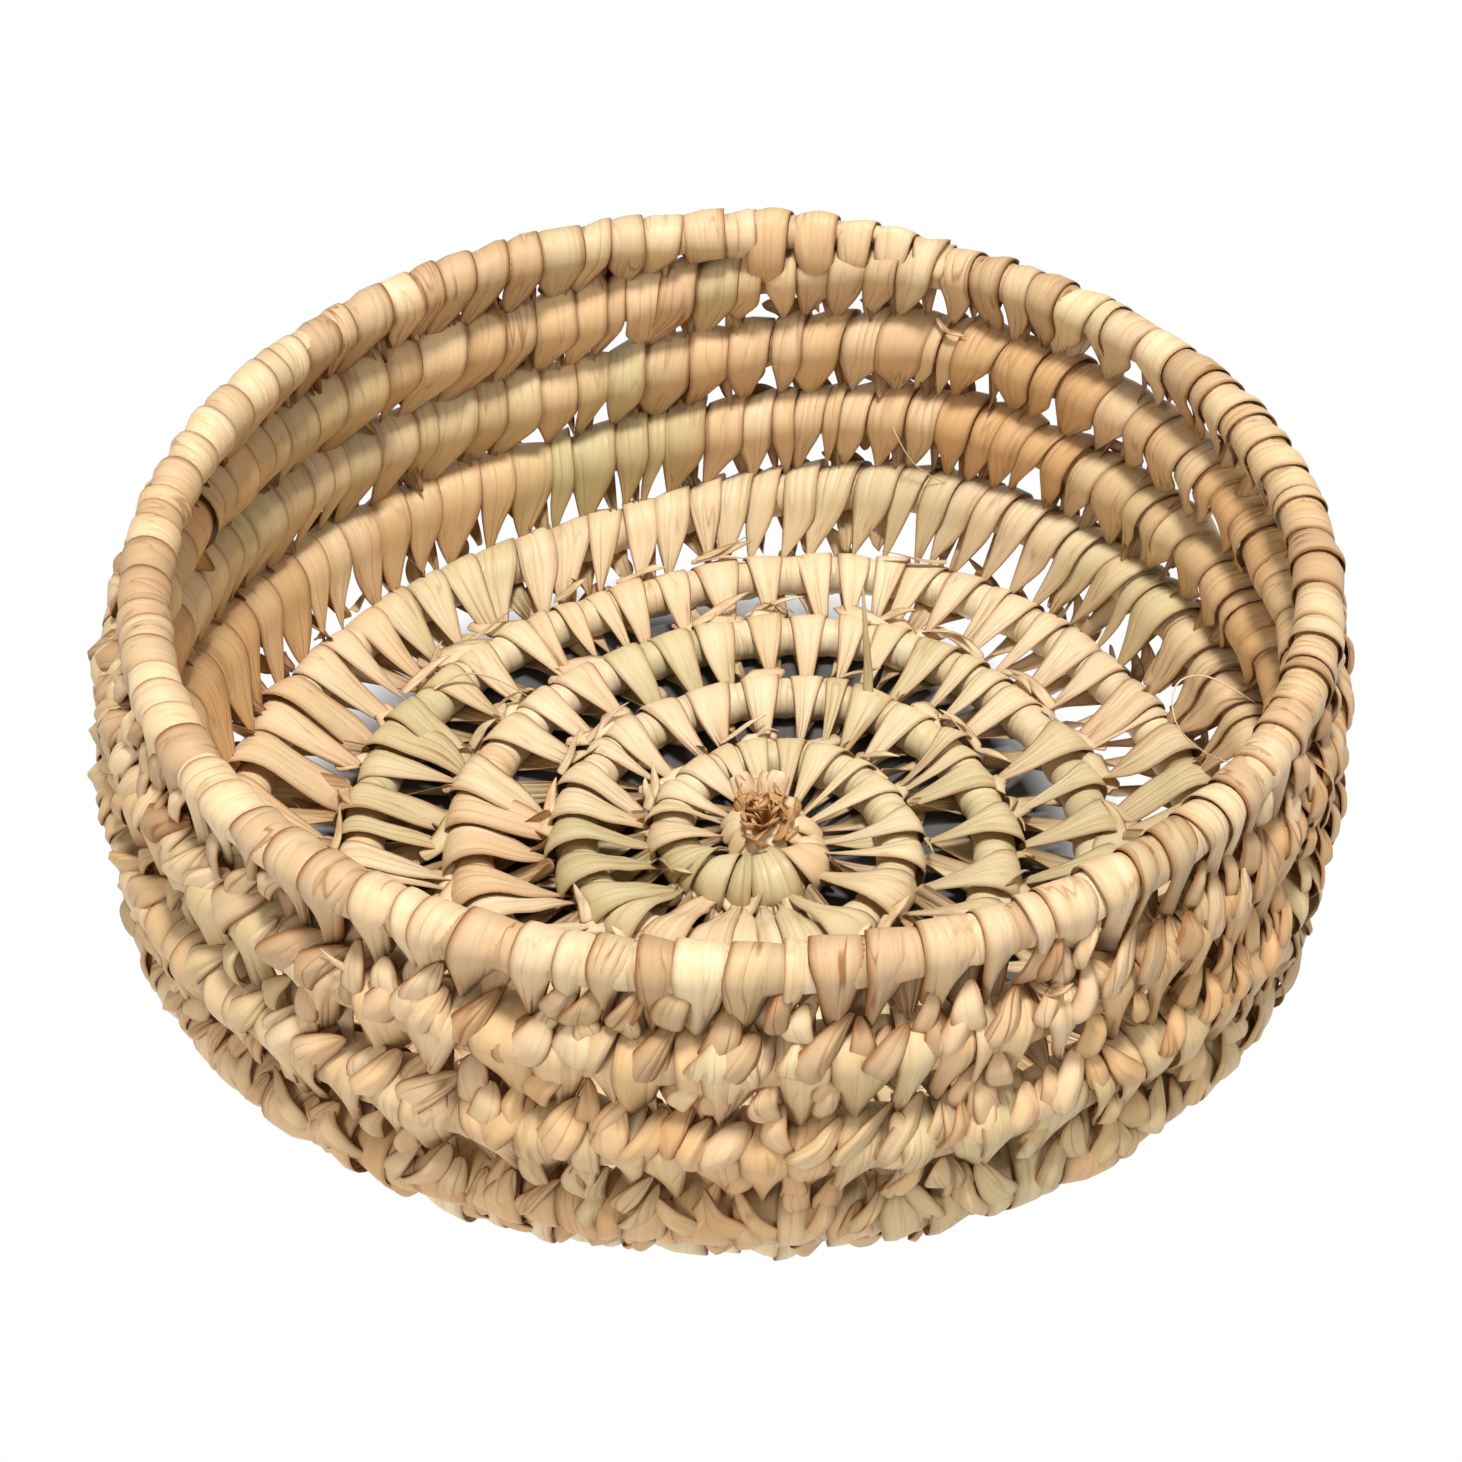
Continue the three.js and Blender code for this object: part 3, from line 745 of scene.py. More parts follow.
# The shape of a band. Pairs of values are for its inner and its outer half.
def bandShape(band, seeded):
    middle, width, radius, style, hand = (band[k] for k in ("far", "width", "radius", "style", "hand"))
    outer = bands["outside"]
    leave = np.radians([seeded.uniform(*bands["leave"][style]) + bands["leaveFront"] * band["front"],
                        seeded.uniform(*outer["leave"])])
    tilt = seeded.uniform(*bands["tilt"][style])
    crown = seeded.uniform(*bands["crown"]), seeded.uniform(*outer["crown"]) * width / outer["crownWidth"]
    skew = seeded.uniform(*bands["skew"][style]), seeded.uniform(*outer["skew"])
    twist = seeded.uniform(*bands["twist"]), seeded.uniform(*outer["twist"])
    tipShare = [seeded.uniform(*bands["tip"][style]), seeded.uniform(*outer["tip"])]
    taperFrom = [seeded.uniform(*bands["taperFrom"][style]), seeded.uniform(*outer["taperFrom"][style])]
    if style in ("saddle", "shell"):
        later, last = bands["taperLater"]
        taperFrom[0] = min(taperFrom[0] + later * max(-hand, 2 * band["nearFoot"]), last)
        tipShare[0] = min(tipShare[0] + bands["tipFoot"] * band["nearFoot"], 1)
    tipShare[1] *= blendOf(1, outer["tipBack"], band["back"])
    power = seeded.uniform(*bands["taperPower"][style]), seeded.uniform(*outer["taperPower"])
    waveSpeed, waveSize, latest = bands["wave"]
    waveStart = seeded.uniform(0, latest)
    ridge = band["ridge"] / bands["columns"] - 0.5
    arcShare = bands["arcShare"]
    tipDown, tipInner = zip(band["innerTip"], band["outerTip"])
    crownLeast, crownMore = outer["crownAt"]

    def shape(across, along):
        side = 1 - 2 * along  # 1 at the inside tip, 0 over the top, -1 at the outside tip
        inside = side > 0

        def pick(pair):
            return np.where(inside, pair[0], pair[1])

        arc = np.clip(np.abs(side) / arcShare, 0, 1)
        way = np.clip((np.abs(side) - arcShare) / (1 - arcShare), 0, 1)
        leaveAt = pick(leave)
        angle = arc * leaveAt
        taper = np.clip((np.abs(side) - pick(taperFrom)) / (1 - pick(taperFrom)), 0, 1) ** pick(power)
        full = 1 - (1 - pick(tipShare)) * taper
        spread = across * width * full
        turned = pick(twist) * way ** 2
        crowned = pick((crown[0] * 4 * across ** 2,
                        crown[1] * (crownLeast + crownMore * way) * 2 * np.abs(across - ridge)))
        tilted = tilt * (bands["tiltOfAll"] + hand * across) * (1 - way)
        height = radius + tilted - crowned + spread * np.sin(turned) * bands["twistHeight"]
        down = -height * np.cos(angle) + way * (pick(tipDown) + radius * np.cos(leaveAt))
        settled = way ** pick(bands["settle"])
        inner = height * np.sin(angle) + settled * (pick(tipInner) - radius * np.sin(leaveAt))
        offset = spread * np.cos(turned) + pick(skew) * (1 - full) * width / 2
        offset = offset + np.sin(side * waveSpeed + waveStart) * waveSize
        offset = offset + band["bend"] * np.sin(math.pi * way) * inside
        leaned = np.where(inside, -band["lean"][0], band["lean"][1]) * np.abs(side)
        return place(middle + offset + leaned, down, np.where(inside, inner, -inner))

    return shape


def tiedRadius(far):
    turn = float(turnAt(far))
    if turn - 1 < coil["startTurn"]:
        return knot["base"]
    return float(coverRadius(np.interp(turn - 1, turns, lengths)))


def nearFoot(turn):
    return float(smooth((turn - bands["footFrom"]) / bands["footLength"]))


# All that a stitch at a place on the coil needs
def planBand(far, width, spacing, style, seeded):
    turn = float(turnAt(far))
    outer = bands["outside"]
    reach = float(readAlong(reaches, far))
    tied = tiedRadius(far) + bands["clearance"]
    alpha = math.radians(seeded.uniform(*bands["tipAngle"][style]))
    radius = float(coverRadius(far)) + bands["lift"][style] * seeded.uniform(*bands["liftSpread"])
    held = tied - bands["tuck"][style]
    leastInner, leastOuter = bands["leastDown"]
    short, *shortSpread = outer["short"]
    innerDown = max(reach - held * math.cos(alpha), radius * leastInner)
    outerDown = max(reach - tied * short - seeded.uniform(*shortSpread), radius * leastOuter)
    jumble = float(smooth((twists["jumbleBelow"] - turn) / twists["jumbleLength"]))
    leanOutside = seeded.uniform(*outer["lean"])
    lean = seeded.uniform(*bands["lean"][style])
    hand = 1 if style == "rim" else seeded.choice(bands["hands"])
    front = 0
    right, back = facingAt(far)
    if style in ("saddle", "shell"):
        frontFrom, frontLength = bands["frontSector"]
        front = float(smooth((-back - frontFrom) / frontLength))
        lean = -lean * right + seeded.uniform(-bands["leanSpread"], bands["leanSpread"])
        hand = 1 if jittered(right, seeded) > 0 else -1
    if seeded.random() < twists["turnedBack"] * jumble:
        leanOutside = -seeded.uniform(0, outer["leanBack"])
    ridge = seeded.choice(ribbonLook["ridges"])
    if style == "saddle":
        bend = -hand * seeded.uniform(*bands["saddleBend"])
    else:
        bend = seeded.uniform(*bands["bend"])
    return {
        "far": far,
        "width": width,
        "spacing": spacing,
        "style": style,
        "jumble": jumble,
        "hand": hand,  # which edge is lifted
        "nearFoot": nearFoot(turn),
        "front": front,
        "back": float(smooth(back * bands["backGain"])),
        "ridge": ridge,
        "bend": bend,
        "lean": (lean, leanOutside),
        "radius": radius,
        "reach": reach,
        "tied": tied,
        "innerTip": (innerDown, held * math.sin(alpha)),
        "outerTip": (outerDown, radius * seeded.uniform(*outer["tipInner"])),
    }


def addBand(leaf, band, seeded):
    tone = toneAt(band["far"], seeded)
    shape = bandShape(band, seeded)
    mapStart = seeded.uniform(*ribbonLook["mapStarts"])
    leaf.ribbon(bands["columns"], bands["rows"], shape, (*tone, bands["darkEnds"]), band["width"],
                bands["mapLength"], mapStart, ridge=band["ridge"])
    return tone


# Outside, the leaf twists as it leaves a band's tip, and lies as a puffed lens over the round before
twists = {
    "chance": {"floor": 0.3, "wall": 0.97, "rim": 0.98},
    "sparseBack": 0.45,  # share left of them at the back
    "leastHollow": 3 * mm,  # between two rounds, for there to be any
    "jumbleBelow": 7.9,  # turn of the coil up to which they lie less neatly
    "jumbleLength": 1.2,
    "turnedBack": 0.45,  # chance, where they do, that a band's tip leans the other way
    "reversed": 0.35,  # chance that a twist does
    "astray": 0.35,  # how far it strays, in spacings
    "from": (0.4, 0.7),  # where it starts before the tip, and ends past it, in spacings
    "to": (0.1, 0.5),
    "widestSpacing": 12 * mm,
    "start": (3 * mm, 6.5 * mm),  # above the tip
    "end": (0, 4.5 * mm),  # below the round before's middle
    "endJumbled": 0.6,
    "widths": (5.8 * mm, 8.8 * mm),
    "widthJumbled": (0.6, 1.0),
    "darker": (0, 0.2),
    "puff": (1.6 * mm, 3.2 * mm),
    "lift": 0.3 * mm,
}

# The form of a lens
lenses = {
    "columns": 4,
    "rows": 8,
    "dip": (0.3 * mm, 1.8 * mm),  # between the two rounds
    "bend": (-0.12, 0.24),
    "roll": (-0.7, 0.7),
    "rollShare": 0.5,
    "narrow": (0.5, 0.95),  # where it starts, growing to its full width
    "growth": 1.6,
    "blunt": (2.6, 4.6),
    "endWidth": 0.12,
    "roundness": 0.6,
    "below": (12 * mm, 2.6 * mm),  # past the round before it sinks, over this length and this far
    "sinkStart": (0.42, 4.2 * mm),  # its start lies sunk up to this share of the way, and this deep
    "sinkEnd": (0.74, 2.8 * mm),  # and its end from this share on
    "fullSize": 18 * mm,  # of a lens whose ends sink the whole way
    "sizePower": 1.5,
    "puffPower": 0.5,
    # painted shade at its ends, which sink into the valleys between rounds
    "darkEnds": 0.45,
    "slanted": (-0.2, 1.0),
}


# A folded piece of leaf on the outside of the wall between two places, each by distance along and down the
# coil. Both its ends sink into the valleys between the rounds, and it has a ridge along it.
def addLens(leaf, band, start, end, width, puff, lift, tone, seeded):
    reach, radius, tied = band["reach"], band["radius"], band["tied"]
    run, drop = end[0] - start[0], end[1] - start[1]
    size = math.hypot(run, drop)
    dip = seeded.uniform(*lenses["dip"])
    ridge = seeded.choice(ribbonLook["ridges"])
    peak = ridge / lenses["columns"] - 0.5
    bend = seeded.uniform(*lenses["bend"]) * size
    roll = seeded.uniform(*lenses["roll"]), seeded.uniform(*lenses["roll"])
    narrow = seeded.uniform(*lenses["narrow"])
    blunt = seeded.uniform(*lenses["blunt"])
    deep = min(size / lenses["fullSize"], 1) ** lenses["sizePower"]
    belowLength, belowDepth = lenses["below"]
    startLength, startDepth = lenses["sinkStart"]
    endFrom, endDepth = lenses["sinkEnd"]

    def shape(across, along):
        rounded = (1 + lenses["endWidth"] - np.abs(2 * along - 1) ** blunt) ** lenses["roundness"]
        side = across * width * rounded * blendOf(narrow, 1, smooth(along * lenses["growth"]))
        roof = 1 - np.abs(across - peak) / (0.5 + abs(peak))
        rolled = side * np.sin(blendOf(roll[0], roll[1], along)) * lenses["rollShare"]
        far = start[0] + run * along + side * drop / size + bend * np.sin(math.pi * along)
        down = start[1] + drop * along - side * run / size
        under = np.clip(down / reach, 0, 1)
        below = smooth((down - reach) / belowLength)
        base = blendOf(radius, tied, under) - dip * np.sin(math.pi * under) ** 2 - belowDepth * below
        sunk = startDepth * smooth(1 - along / startLength)
        sunk = sunk + endDepth * smooth((along - endFrom) / (1 - endFrom))
        puffed = puff * roof * np.sin(math.pi * along) ** lenses["puffPower"]
        return place(far, down, -(base + lift - sunk * deep + rolled + puffed))

    leaf.ribbon(lenses["columns"], lenses["rows"], shape, (*tone, lenses["darkEnds"]), width, size,
                seeded.uniform(*ribbonLook["mapStarts"]), slanted=seeded.uniform(*lenses["slanted"]) * width,
                ridge=ridge)


def hasHollow(band):
    return band["reach"] - band["tied"] - band["radius"] >= twists["leastHollow"]


def addTwist(leaf, band, tone, seeded):
    if not hasHollow(band):
        return
    spacing, jumble = band["spacing"], band["jumble"]
    tipFar = band["far"] + band["lean"][1]
    step = min(spacing, twists["widestSpacing"])
    fars = [tipFar - step * seeded.uniform(*twists["from"]), tipFar + step * seeded.uniform(*twists["to"])]
    if seeded.random() < twists["reversed"] * jumble:
        fars.reverse()
    fars = [f + seeded.uniform(-twists["astray"], twists["astray"]) * jumble * spacing for f in fars]
    downs = (band["outerTip"][0] - seeded.uniform(*twists["start"]),
             band["reach"] + seeded.uniform(*twists["end"]) * blendOf(1, twists["endJumbled"], jumble))
    width = seeded.uniform(*twists["widths"]) * blendOf(1, seeded.uniform(*twists["widthJumbled"]), jumble)
    green, rose, dark = tone
    tone = (green, rose, min(dark + seeded.uniform(*twists["darker"]), 1))
    puff = seeded.uniform(*twists["puff"])
    addLens(leaf, band, (fars[0], downs[0]), (fars[1], downs[1]), width, puff, twists["lift"], tone, seeded)


# Short ends of leaf that fill the hollow between two bands outside
fillers = {
    "chance": {"floor": 0.1, "wall": 0.95, "rim": 0.95},
    "tries": 2,  # to each band
    "far": (0.2, 0.8),  # past the band's middle, in spacings
    "slant": (-2.5 * mm, 8 * mm),
    "down": (-0.1, 0.7),  # where it starts, from the first in radii to the last as a share of the way down
    "lengths": (10 * mm, 15.5 * mm),
    "widths": (4.6 * mm, 7.2 * mm),
    "puff": (1.0 * mm, 2.3 * mm),
    "lift": (-1.6 * mm, 0),
    "darker": (0.04, 0.25),
}


def addFiller(leaf, band, seeded):
    if not hasHollow(band):
        return
    far = band["far"] + band["spacing"] * seeded.uniform(*fillers["far"])
    slant = seeded.uniform(*fillers["slant"])
    first, last = fillers["down"]
    down = blendOf(first * band["radius"], band["reach"] * last, seeded.random())
    green, rose, dark = toneAt(far, seeded)
    size, width, puff, lift = (seeded.uniform(*fillers[k]) for k in ("lengths", "widths", "puff", "lift"))
    tone = (green, rose, dark + seeded.uniform(*fillers["darker"]))
    start, end = (far - slant / 2, down), (far + slant / 2, down + size)
    addLens(leaf, band, start, end, width, puff, lift, tone, seeded)


# On the floor a stitch's leaf ends in a tail, cut off beyond its tip, over the round before
tails = {
    "fromTurn": 1.55,
    "chance": 0.5,
    "chanceMore": 0.4,  # near the foot and at the front
    "lengths": (9 * mm, 19 * mm),
    "widths": (5 * mm, 8.5 * mm),
    "rise": (-0.4, 0.5),
    "sink": (-0.25, 0.35),
    "along": (-0.25, 0.05, 0.4, 0.75, 1),  # its points from the band's tip, in lengths
    "down": (-0.4, -0.05, 0.14, 0.2, 0.2),
    "downSink": (0, 0, 0.4, 0.7, 1),  # more, in sinks
    "inner": (-0.6 * mm, 1.4 * mm, 2.4 * mm, 2.2 * mm, 1.2 * mm),  # and in rises
    "innerRise": (0, 0, 1 * mm, 2.2 * mm, 4 * mm),
    "taper": (0.7, 1.0, 1.0, 0.6, 0.08),
    "middleWidth": (0.9, 1.3),  # times the third of these
    "twist": (-0.25, 0.25),
    "curl": (-0.15, 0.3),
    "darkEnds": 0.15,
}


def addTail(leaf, band, tone, seeded):
    far = band["far"] - band["lean"][0]
    down, inner = band["innerTip"]
    size = seeded.uniform(*tails["lengths"]) * seeded.choice([-1, 1])
    wide, rise, sink = (seeded.uniform(*tails[k]) for k in ("widths", "rise", "sink"))
    alongs, downs, downSinks, inners, innerRises, widths = (
        np.array(tails[k]) for k in ("along", "down", "downSink", "inner", "innerRise", "taper"))
    points = place(far + size * alongs, down + abs(size) * (downs + sink * downSinks),
                   inner + inners + rise * innerRises)
    widths[2] *= seeded.uniform(*tails["middleWidth"])
    twist = seeded.uniform(*tails["twist"])
    curl = seeded.uniform(*tails["curl"])
    freeRibbon(leaf, points, wide * widths, twist, (*tone, tails["darkEnds"]), curl=curl)


# Keeps leaf that passes under the floor flat against what the basket stands on
pressing = {
    "least": 0.5 * mm,  # height that is left
    "soft": 1.2 * mm,
    "deepest": 4 * mm,
}


def pressFlat(leaf):
    least, soft = pressing["least"], pressing["soft"]
    for v in leaf.mesh.verts:
        over = v.co.z - least
        if over < soft:
            v.co.z = least + soft * math.exp(max(over - soft, -pressing["deepest"]) / soft)


def bandWidth(style, seeded):
    pick = seeded.random()
    for least, most, share in bands["widths"][style]:
        if pick < share:
            return seeded.uniform(least, most)
        pick -= share
    return seeded.uniform(least, most)


# The rim thins out over the round that climbs to take its place. Near its end, bands go round both.
rimEnd = {
    "bothFrom": 9.217,  # turn of the coil
    "before": 0.014,  # and the turns before it where the single bands stop
    "sweep": math.radians(158),
    "sinks": 12 * mm,  # length over which the bands come down to the round below
    "tilt": (0.4 * mm, 1.0 * mm),
    "lean": (0, 2.5 * mm),
    "narrowing": (0.5, 2.5),  # share lost at the ends, and its power
    "topGap": 0.2 * mm,
    "bottomShare": 0.25,
    "over": 0.4 * mm,
    # painted shade at the ends, where they wrap down under the rounds
    "darkEnds": 0.25,
    # How far past that turn each band is, its width and how much it bulges
    "wraps": ((-6 * mm, 12.5 * mm, 1.7 * mm), (6.5 * mm, 13 * mm, 1.7 * mm), (18 * mm, 10.5 * mm, 0.6 * mm),
              (28.5 * mm, 10.5 * mm, 0.4 * mm), (38.5 * mm, 10 * mm, 0.3 * mm)),
    "tones": ((0.05, 0.7, 0.12), (0.05, 0.65, 0.07), (0.05, 0.5, 0.04), (0.1, 0.4, 0.02), (0.05, 0.5, 0.02)),
}


def wrapBothShape(band, bulge, seeded):
    middle, width, radius, reach, tied = (band[k] for k in ("far", "width", "radius", "reach", "tied"))
    tilt = seeded.uniform(*rimEnd["tilt"])
    lean = seeded.uniform(*rimEnd["lean"])
    lost, power = rimEnd["narrowing"]

    def shape(across, along):
        side = 1 - 2 * along
        angle = side * rimEnd["sweep"]
        lower = (1 - np.cos(angle)) / 2
        far = middle + across * width * (1 - lost * np.abs(side) ** power) - lean * side
        sunk = smooth((far - lengths[-1]) / rimEnd["sinks"])
        top = blendOf(-radius, reach - tied - rimEnd["topGap"], sunk)
        bottom = reach + tied * rimEnd["bottomShare"]
        grown = tilt * across + bulge * (1 - 4 * across ** 2)
        deep = blendOf(blendOf(radius, tied, sunk), tied, lower) + rimEnd["over"] + grown
        down = (top + bottom) / 2 - ((bottom - top) / 2 + grown) * np.cos(angle)
        return place(far, down, deep * np.sin(angle))

    return shape


def addRimEnd(leaf, seeded):
    start = float(np.interp(rimEnd["bothFrom"], turns, lengths))
    for (past, width, bulge), tone in zip(rimEnd["wraps"], rimEnd["tones"]):
        band = planBand(start + past, width, width, "rim", seeded)
        shape = wrapBothShape(band, bulge, seeded)
        mapStart = seeded.uniform(*ribbonLook["mapStarts"])
        leaf.ribbon(bands["columns"], bands["rows"], shape, (*tone, rimEnd["darkEnds"]), width,
                    bands["mapLength"], mapStart)


# The style, width and spacing of each stitch of a strip. The spacings are fitted to its length.
def planStitches(start, end, region, seeded):
    stitches, used = [], 0
    firstShare, firstTurn = bands["firstWidths"]
    while used < end - start:
        style = styleAt(start + used, region, seeded)
        turn = float(turnAt(start + used))
        width = bandWidth(style, seeded) * blendOf(firstShare, 1, float(smooth(turn - firstTurn)))
        spacing = width * min(bands["spacing"][style], blendOf(*bands["spacingMost"], nearFoot(turn)))
        stitches.append((style, width, spacing))
        used += spacing
    fit = (end - start) / used
    return [(style, width, spacing * fit) for style, width, spacing in stitches]


# What lies round a band: twisted and filling pieces outside, and a tail on the floor
def addRoundBand(leaf, band, region, tone, nextFar, seeded):
    dense = blendOf(1, twists["sparseBack"], band["back"])
    if seeded.random() < twists["chance"][region] * dense:
        addTwist(leaf, band, tone, seeded)
    for _ in range(fillers["tries"]):
        if seeded.random() < fillers["chance"][region] * dense ** 2:
            addFiller(leaf, band, seeded)
    if region == "floor" and turnAt(band["far"]) > tails["fromTurn"]:
        if seeded.random() < tails["chance"] + tails["chanceMore"] * (band["nearFoot"] + band["front"]):
            addTail(leaf, band, toneAt(nextFar, seeded), seeded)


# One strip of leaf: a band for each stitch, with what lies round it
def makeStrip(name, first, last, number):
    leaf = LeafMesh("leaf_" + name)
    seeded = random.Random(bands["firstSeed"] + number)
    region = name.split("_")[0]
    start, end = (float(np.interp(turn, turns, lengths)) for turn in (first, last))
    far = start
    for style, width, spacing in planStitches(start, end, region, seeded):
        band = planBand(far + spacing / 2, min(width, spacing * bands["overlap"]), spacing, style, seeded)
        far += spacing
        if turnAt(band["far"]) > rimEnd["bothFrom"] - rimEnd["before"]:
            continue
        tone = addBand(leaf, band, seeded)
        addRoundBand(leaf, band, region, tone, far, seeded)
    if last > rimEnd["bothFrom"]:
        addRimEnd(leaf, seeded)
    pressFlat(leaf)
    piece = leaf.finish(leafStrip, bands["thickness"])
    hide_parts(name)
    next(s["material_slot"] for s in frame["record"]["subparts"] if s["node"] == name)


# A ribbon along a smooth line through a few points, turned about it
freeRibbons = {
    "mapLength": 0.03,
    "step": 0.01,  # along the line, for its direction
}


def freeRibbon(leaf, points, widths, turnsRound, tone, columns=2, rows=8, curl=0.0, facing=(0, 0, 1)):
    points = np.array(points)
    widths = np.array(widths)
    seams = np.linspace(0, 1, len(widths))

    def line(at):
        k = np.clip((at * (len(points) - 1)).astype(int), 0, len(points) - 2)
        x = (at * (len(points) - 1) - k)[:, None]
        p = [points[np.clip(k + j, 0, len(points) - 1)] for j in (-1, 0, 1, 2)]
        return p[1] + 0.5 * x * (p[2] - p[0] + x * (2 * p[0] - 5 * p[1] + 4 * p[2] - p[3]
                                                  + x * (3 * (p[1] - p[2]) + p[3] - p[0])))

    def shape(across, along):
        middle = line(along)
        step = freeRibbons["step"]
        direction = unit(line(np.minimum(along + step, 1)) - line(np.maximum(along - step, 0)) + 1e-12)
        side = unit(np.cross(direction, np.array(facing)))
        up = np.cross(side, direction)
        angle = (along * turnsRound * 2 * math.pi)[:, None]
        lateral = side * np.cos(angle) + up * np.sin(angle)
        normal = np.cross(lateral, direction)
        width = np.interp(along, seams, widths)[:, None]
        return middle + lateral * across[:, None] * width - normal * (curl * 4 * across[:, None] ** 2) * width

    mapStart = random.Random(len(points)).uniform(*ribbonLook["mapStarts"])
    leaf.ribbon(columns, rows, shape, tone, float(widths.max()), freeRibbons["mapLength"], mapStart)


# The knot that starts the coil. Its leaf ends are gathered upright, dried brown and folded, over a ring of
# paler leaves that go out to the first round. Outs and heights are the points of a leaf, from its foot on.
knot = {
    "seed": 8,
    "base": 7.5 * mm,
    "lean": (-1 * mm, -3.5 * mm),  # of its top, towards the front
    "columns": 3,
    "thickness": 0.4 * mm,
    "darkEnds": 0.1,
    "leaves": {
        "count": 13,
        "stray": 0.25,
        "reach": (11 * mm, 16 * mm),
        "outs": (0.1, 0.2, 0.45, 0.8, 1.0),
        "heights": (2 * mm, 7 * mm, 8.4 * mm, 6.6 * mm, 2.2 * mm),
        "leanShare": 0.3,
        "width": 7 * mm,
        "taper": (0.5, 0.7, 1.0, 1.0, 0.6),
        "widthSpread": (0.85, 1.1),
        "twist": (-0.04, 0.04),
        "green": 0.15,
        "rose": (0.1, 0.6),
        "curl": 0.16,
        "rows": 9,
    },
    "ends": {  # in three rings, from the middle outwards
        "count": 17,
        "turnStep": 0.382,
        "stray": 0.03,
        "spread": 6.2 * mm,
        "innerSpread": 0.3,
        "height": 16.5 * mm,
        "outerHeight": 0.72,
        "heightSpread": (0.88, 1.05),
        "folded": (0.0, 0.6),
        "outs": (0.6, 0.7, 0.9, 1.15, 1.3),
        "fourthOut": 0.4,  # more in the outer ring
        "heights": (0.1, 0.4, 0.75, 1.0),
        "lastHeight": (0.98, 0.8),
        "lastSpread": (0.85, 1.05),
        "width": 7 * mm,
        "taper": (0.7, 0.75, 0.95, 1.0, 0.5),
        "widthSpread": (0.8, 1.15),
        "twist": (-0.16, 0.16),
        "dark": (0.0, 0.3),
        "curl": (-0.4, 0.5),
        "rows": 9,
    },
    "backEnds": {  # a fan behind the knot
        "count": 7,
        "azimuths": (60, 138),
        "stray": 0.3,
        "outs": (3 * mm, 6 * mm, 9 * mm, 11.5 * mm),
        "heights": (4 * mm, 9 * mm),
        "lastHeights": ((10.5 * mm, 13.5 * mm), (11 * mm, 15 * mm)),
        "widths": (4 * mm, 5 * mm, 5.5 * mm, 4 * mm),
        "widthSpread": (0.85, 1.15),
        "twist": (-0.06, 0.06),
        "rose": (0.1, 0.5),
        "dark": 0.02,
        "curl": (-0.1, 0.25),
        "rows": 7,
    },
}
upwards = np.array([0, 0, 1.0])


def outAt(azimuth):
    return np.array([math.cos(azimuth), math.sin(azimuth), 0])


def knotPoints(out, outs, heights):
    return [knotCentre + out * o + upwards * h for o, h in zip(outs, heights)]


def addKnotLeaf(leaf, k, lean, seeded):
    made = knot["leaves"]
    out = outAt((k + seeded.uniform(-made["stray"], made["stray"])) / made["count"] * 2 * math.pi)
    far = seeded.uniform(*made["reach"])
    points = [point + lean * made["leanShare"]
              for point in knotPoints(out, [far * o for o in made["outs"]], made["heights"])]
    widths = [w * made["width"] * seeded.uniform(*made["widthSpread"]) for w in made["taper"]]
    twist = seeded.uniform(*made["twist"])
    tone = (made["green"], seeded.uniform(*made["rose"]), 0.0, knot["darkEnds"])
    freeRibbon(leaf, points, widths, twist, tone, columns=knot["columns"], rows=made["rows"],
               curl=made["curl"])


def addKnotEnd(leaf, k, lean, seeded):
    made = knot["ends"]
    ring = (k % 3) / 2
    out = outAt((k * made["turnStep"] + seeded.uniform(-made["stray"], made["stray"])) * 2 * math.pi)
    spread = made["spread"] * blendOf(made["innerSpread"], 1.0, ring)
    top = made["height"] * blendOf(1.0, made["outerHeight"], ring) * seeded.uniform(*made["heightSpread"])
    folded = seeded.uniform(*made["folded"])
    heights = [*made["heights"], blendOf(*made["lastHeight"], ring) * seeded.uniform(*made["lastSpread"])]
    outs = np.array(made["outs"]) + ring * np.array([0, 0, 0, made["fourthOut"], folded])
    points = [point + lean * h
              for point, h in zip(knotPoints(out, spread * outs, [top * h for h in heights]), heights)]
    widths = [w * made["width"] * seeded.uniform(*made["widthSpread"]) for w in made["taper"]]
    twist = seeded.uniform(*made["twist"])
    tone = (0, 1.0, seeded.uniform(*made["dark"]), knot["darkEnds"])
    freeRibbon(leaf, points, widths, twist, tone, columns=knot["columns"], rows=made["rows"],
               curl=seeded.uniform(*made["curl"]), facing=out)


def addKnotBackEnd(leaf, k, seeded):
    made = knot["backEnds"]
    way = (k + seeded.uniform(-made["stray"], made["stray"])) / (made["count"] - 1)
    out = outAt(math.radians(blendOf(*made["azimuths"], way)))
    heights = [*made["heights"], *(seeded.uniform(*ends) for ends in made["lastHeights"])]
    widths = [w * seeded.uniform(*made["widthSpread"]) for w in made["widths"]]
    twist = seeded.uniform(*made["twist"])
    tone = (0.0, seeded.uniform(*made["rose"]), made["dark"], knot["darkEnds"])
    freeRibbon(leaf, knotPoints(out, made["outs"], heights), widths, twist, tone, columns=knot["columns"],
               rows=made["rows"], curl=seeded.uniform(*made["curl"]), facing=out)


def makeKnot():
    leaf = LeafMesh("knot_leaf_ends")
    seeded = random.Random(knot["seed"])
    lean = np.array([*knot["lean"], 0])
    for k in range(knot["leaves"]["count"]):
        addKnotLeaf(leaf, k, lean, seeded)
    for k in range(knot["ends"]["count"]):
        addKnotEnd(leaf, k, lean, seeded)
    for k in range(knot["backEnds"]["count"]):
        addKnotBackEnd(leaf, k, seeded)
    piece = leaf.finish(leafStrip, knot["thickness"])
    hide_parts("start_knot")


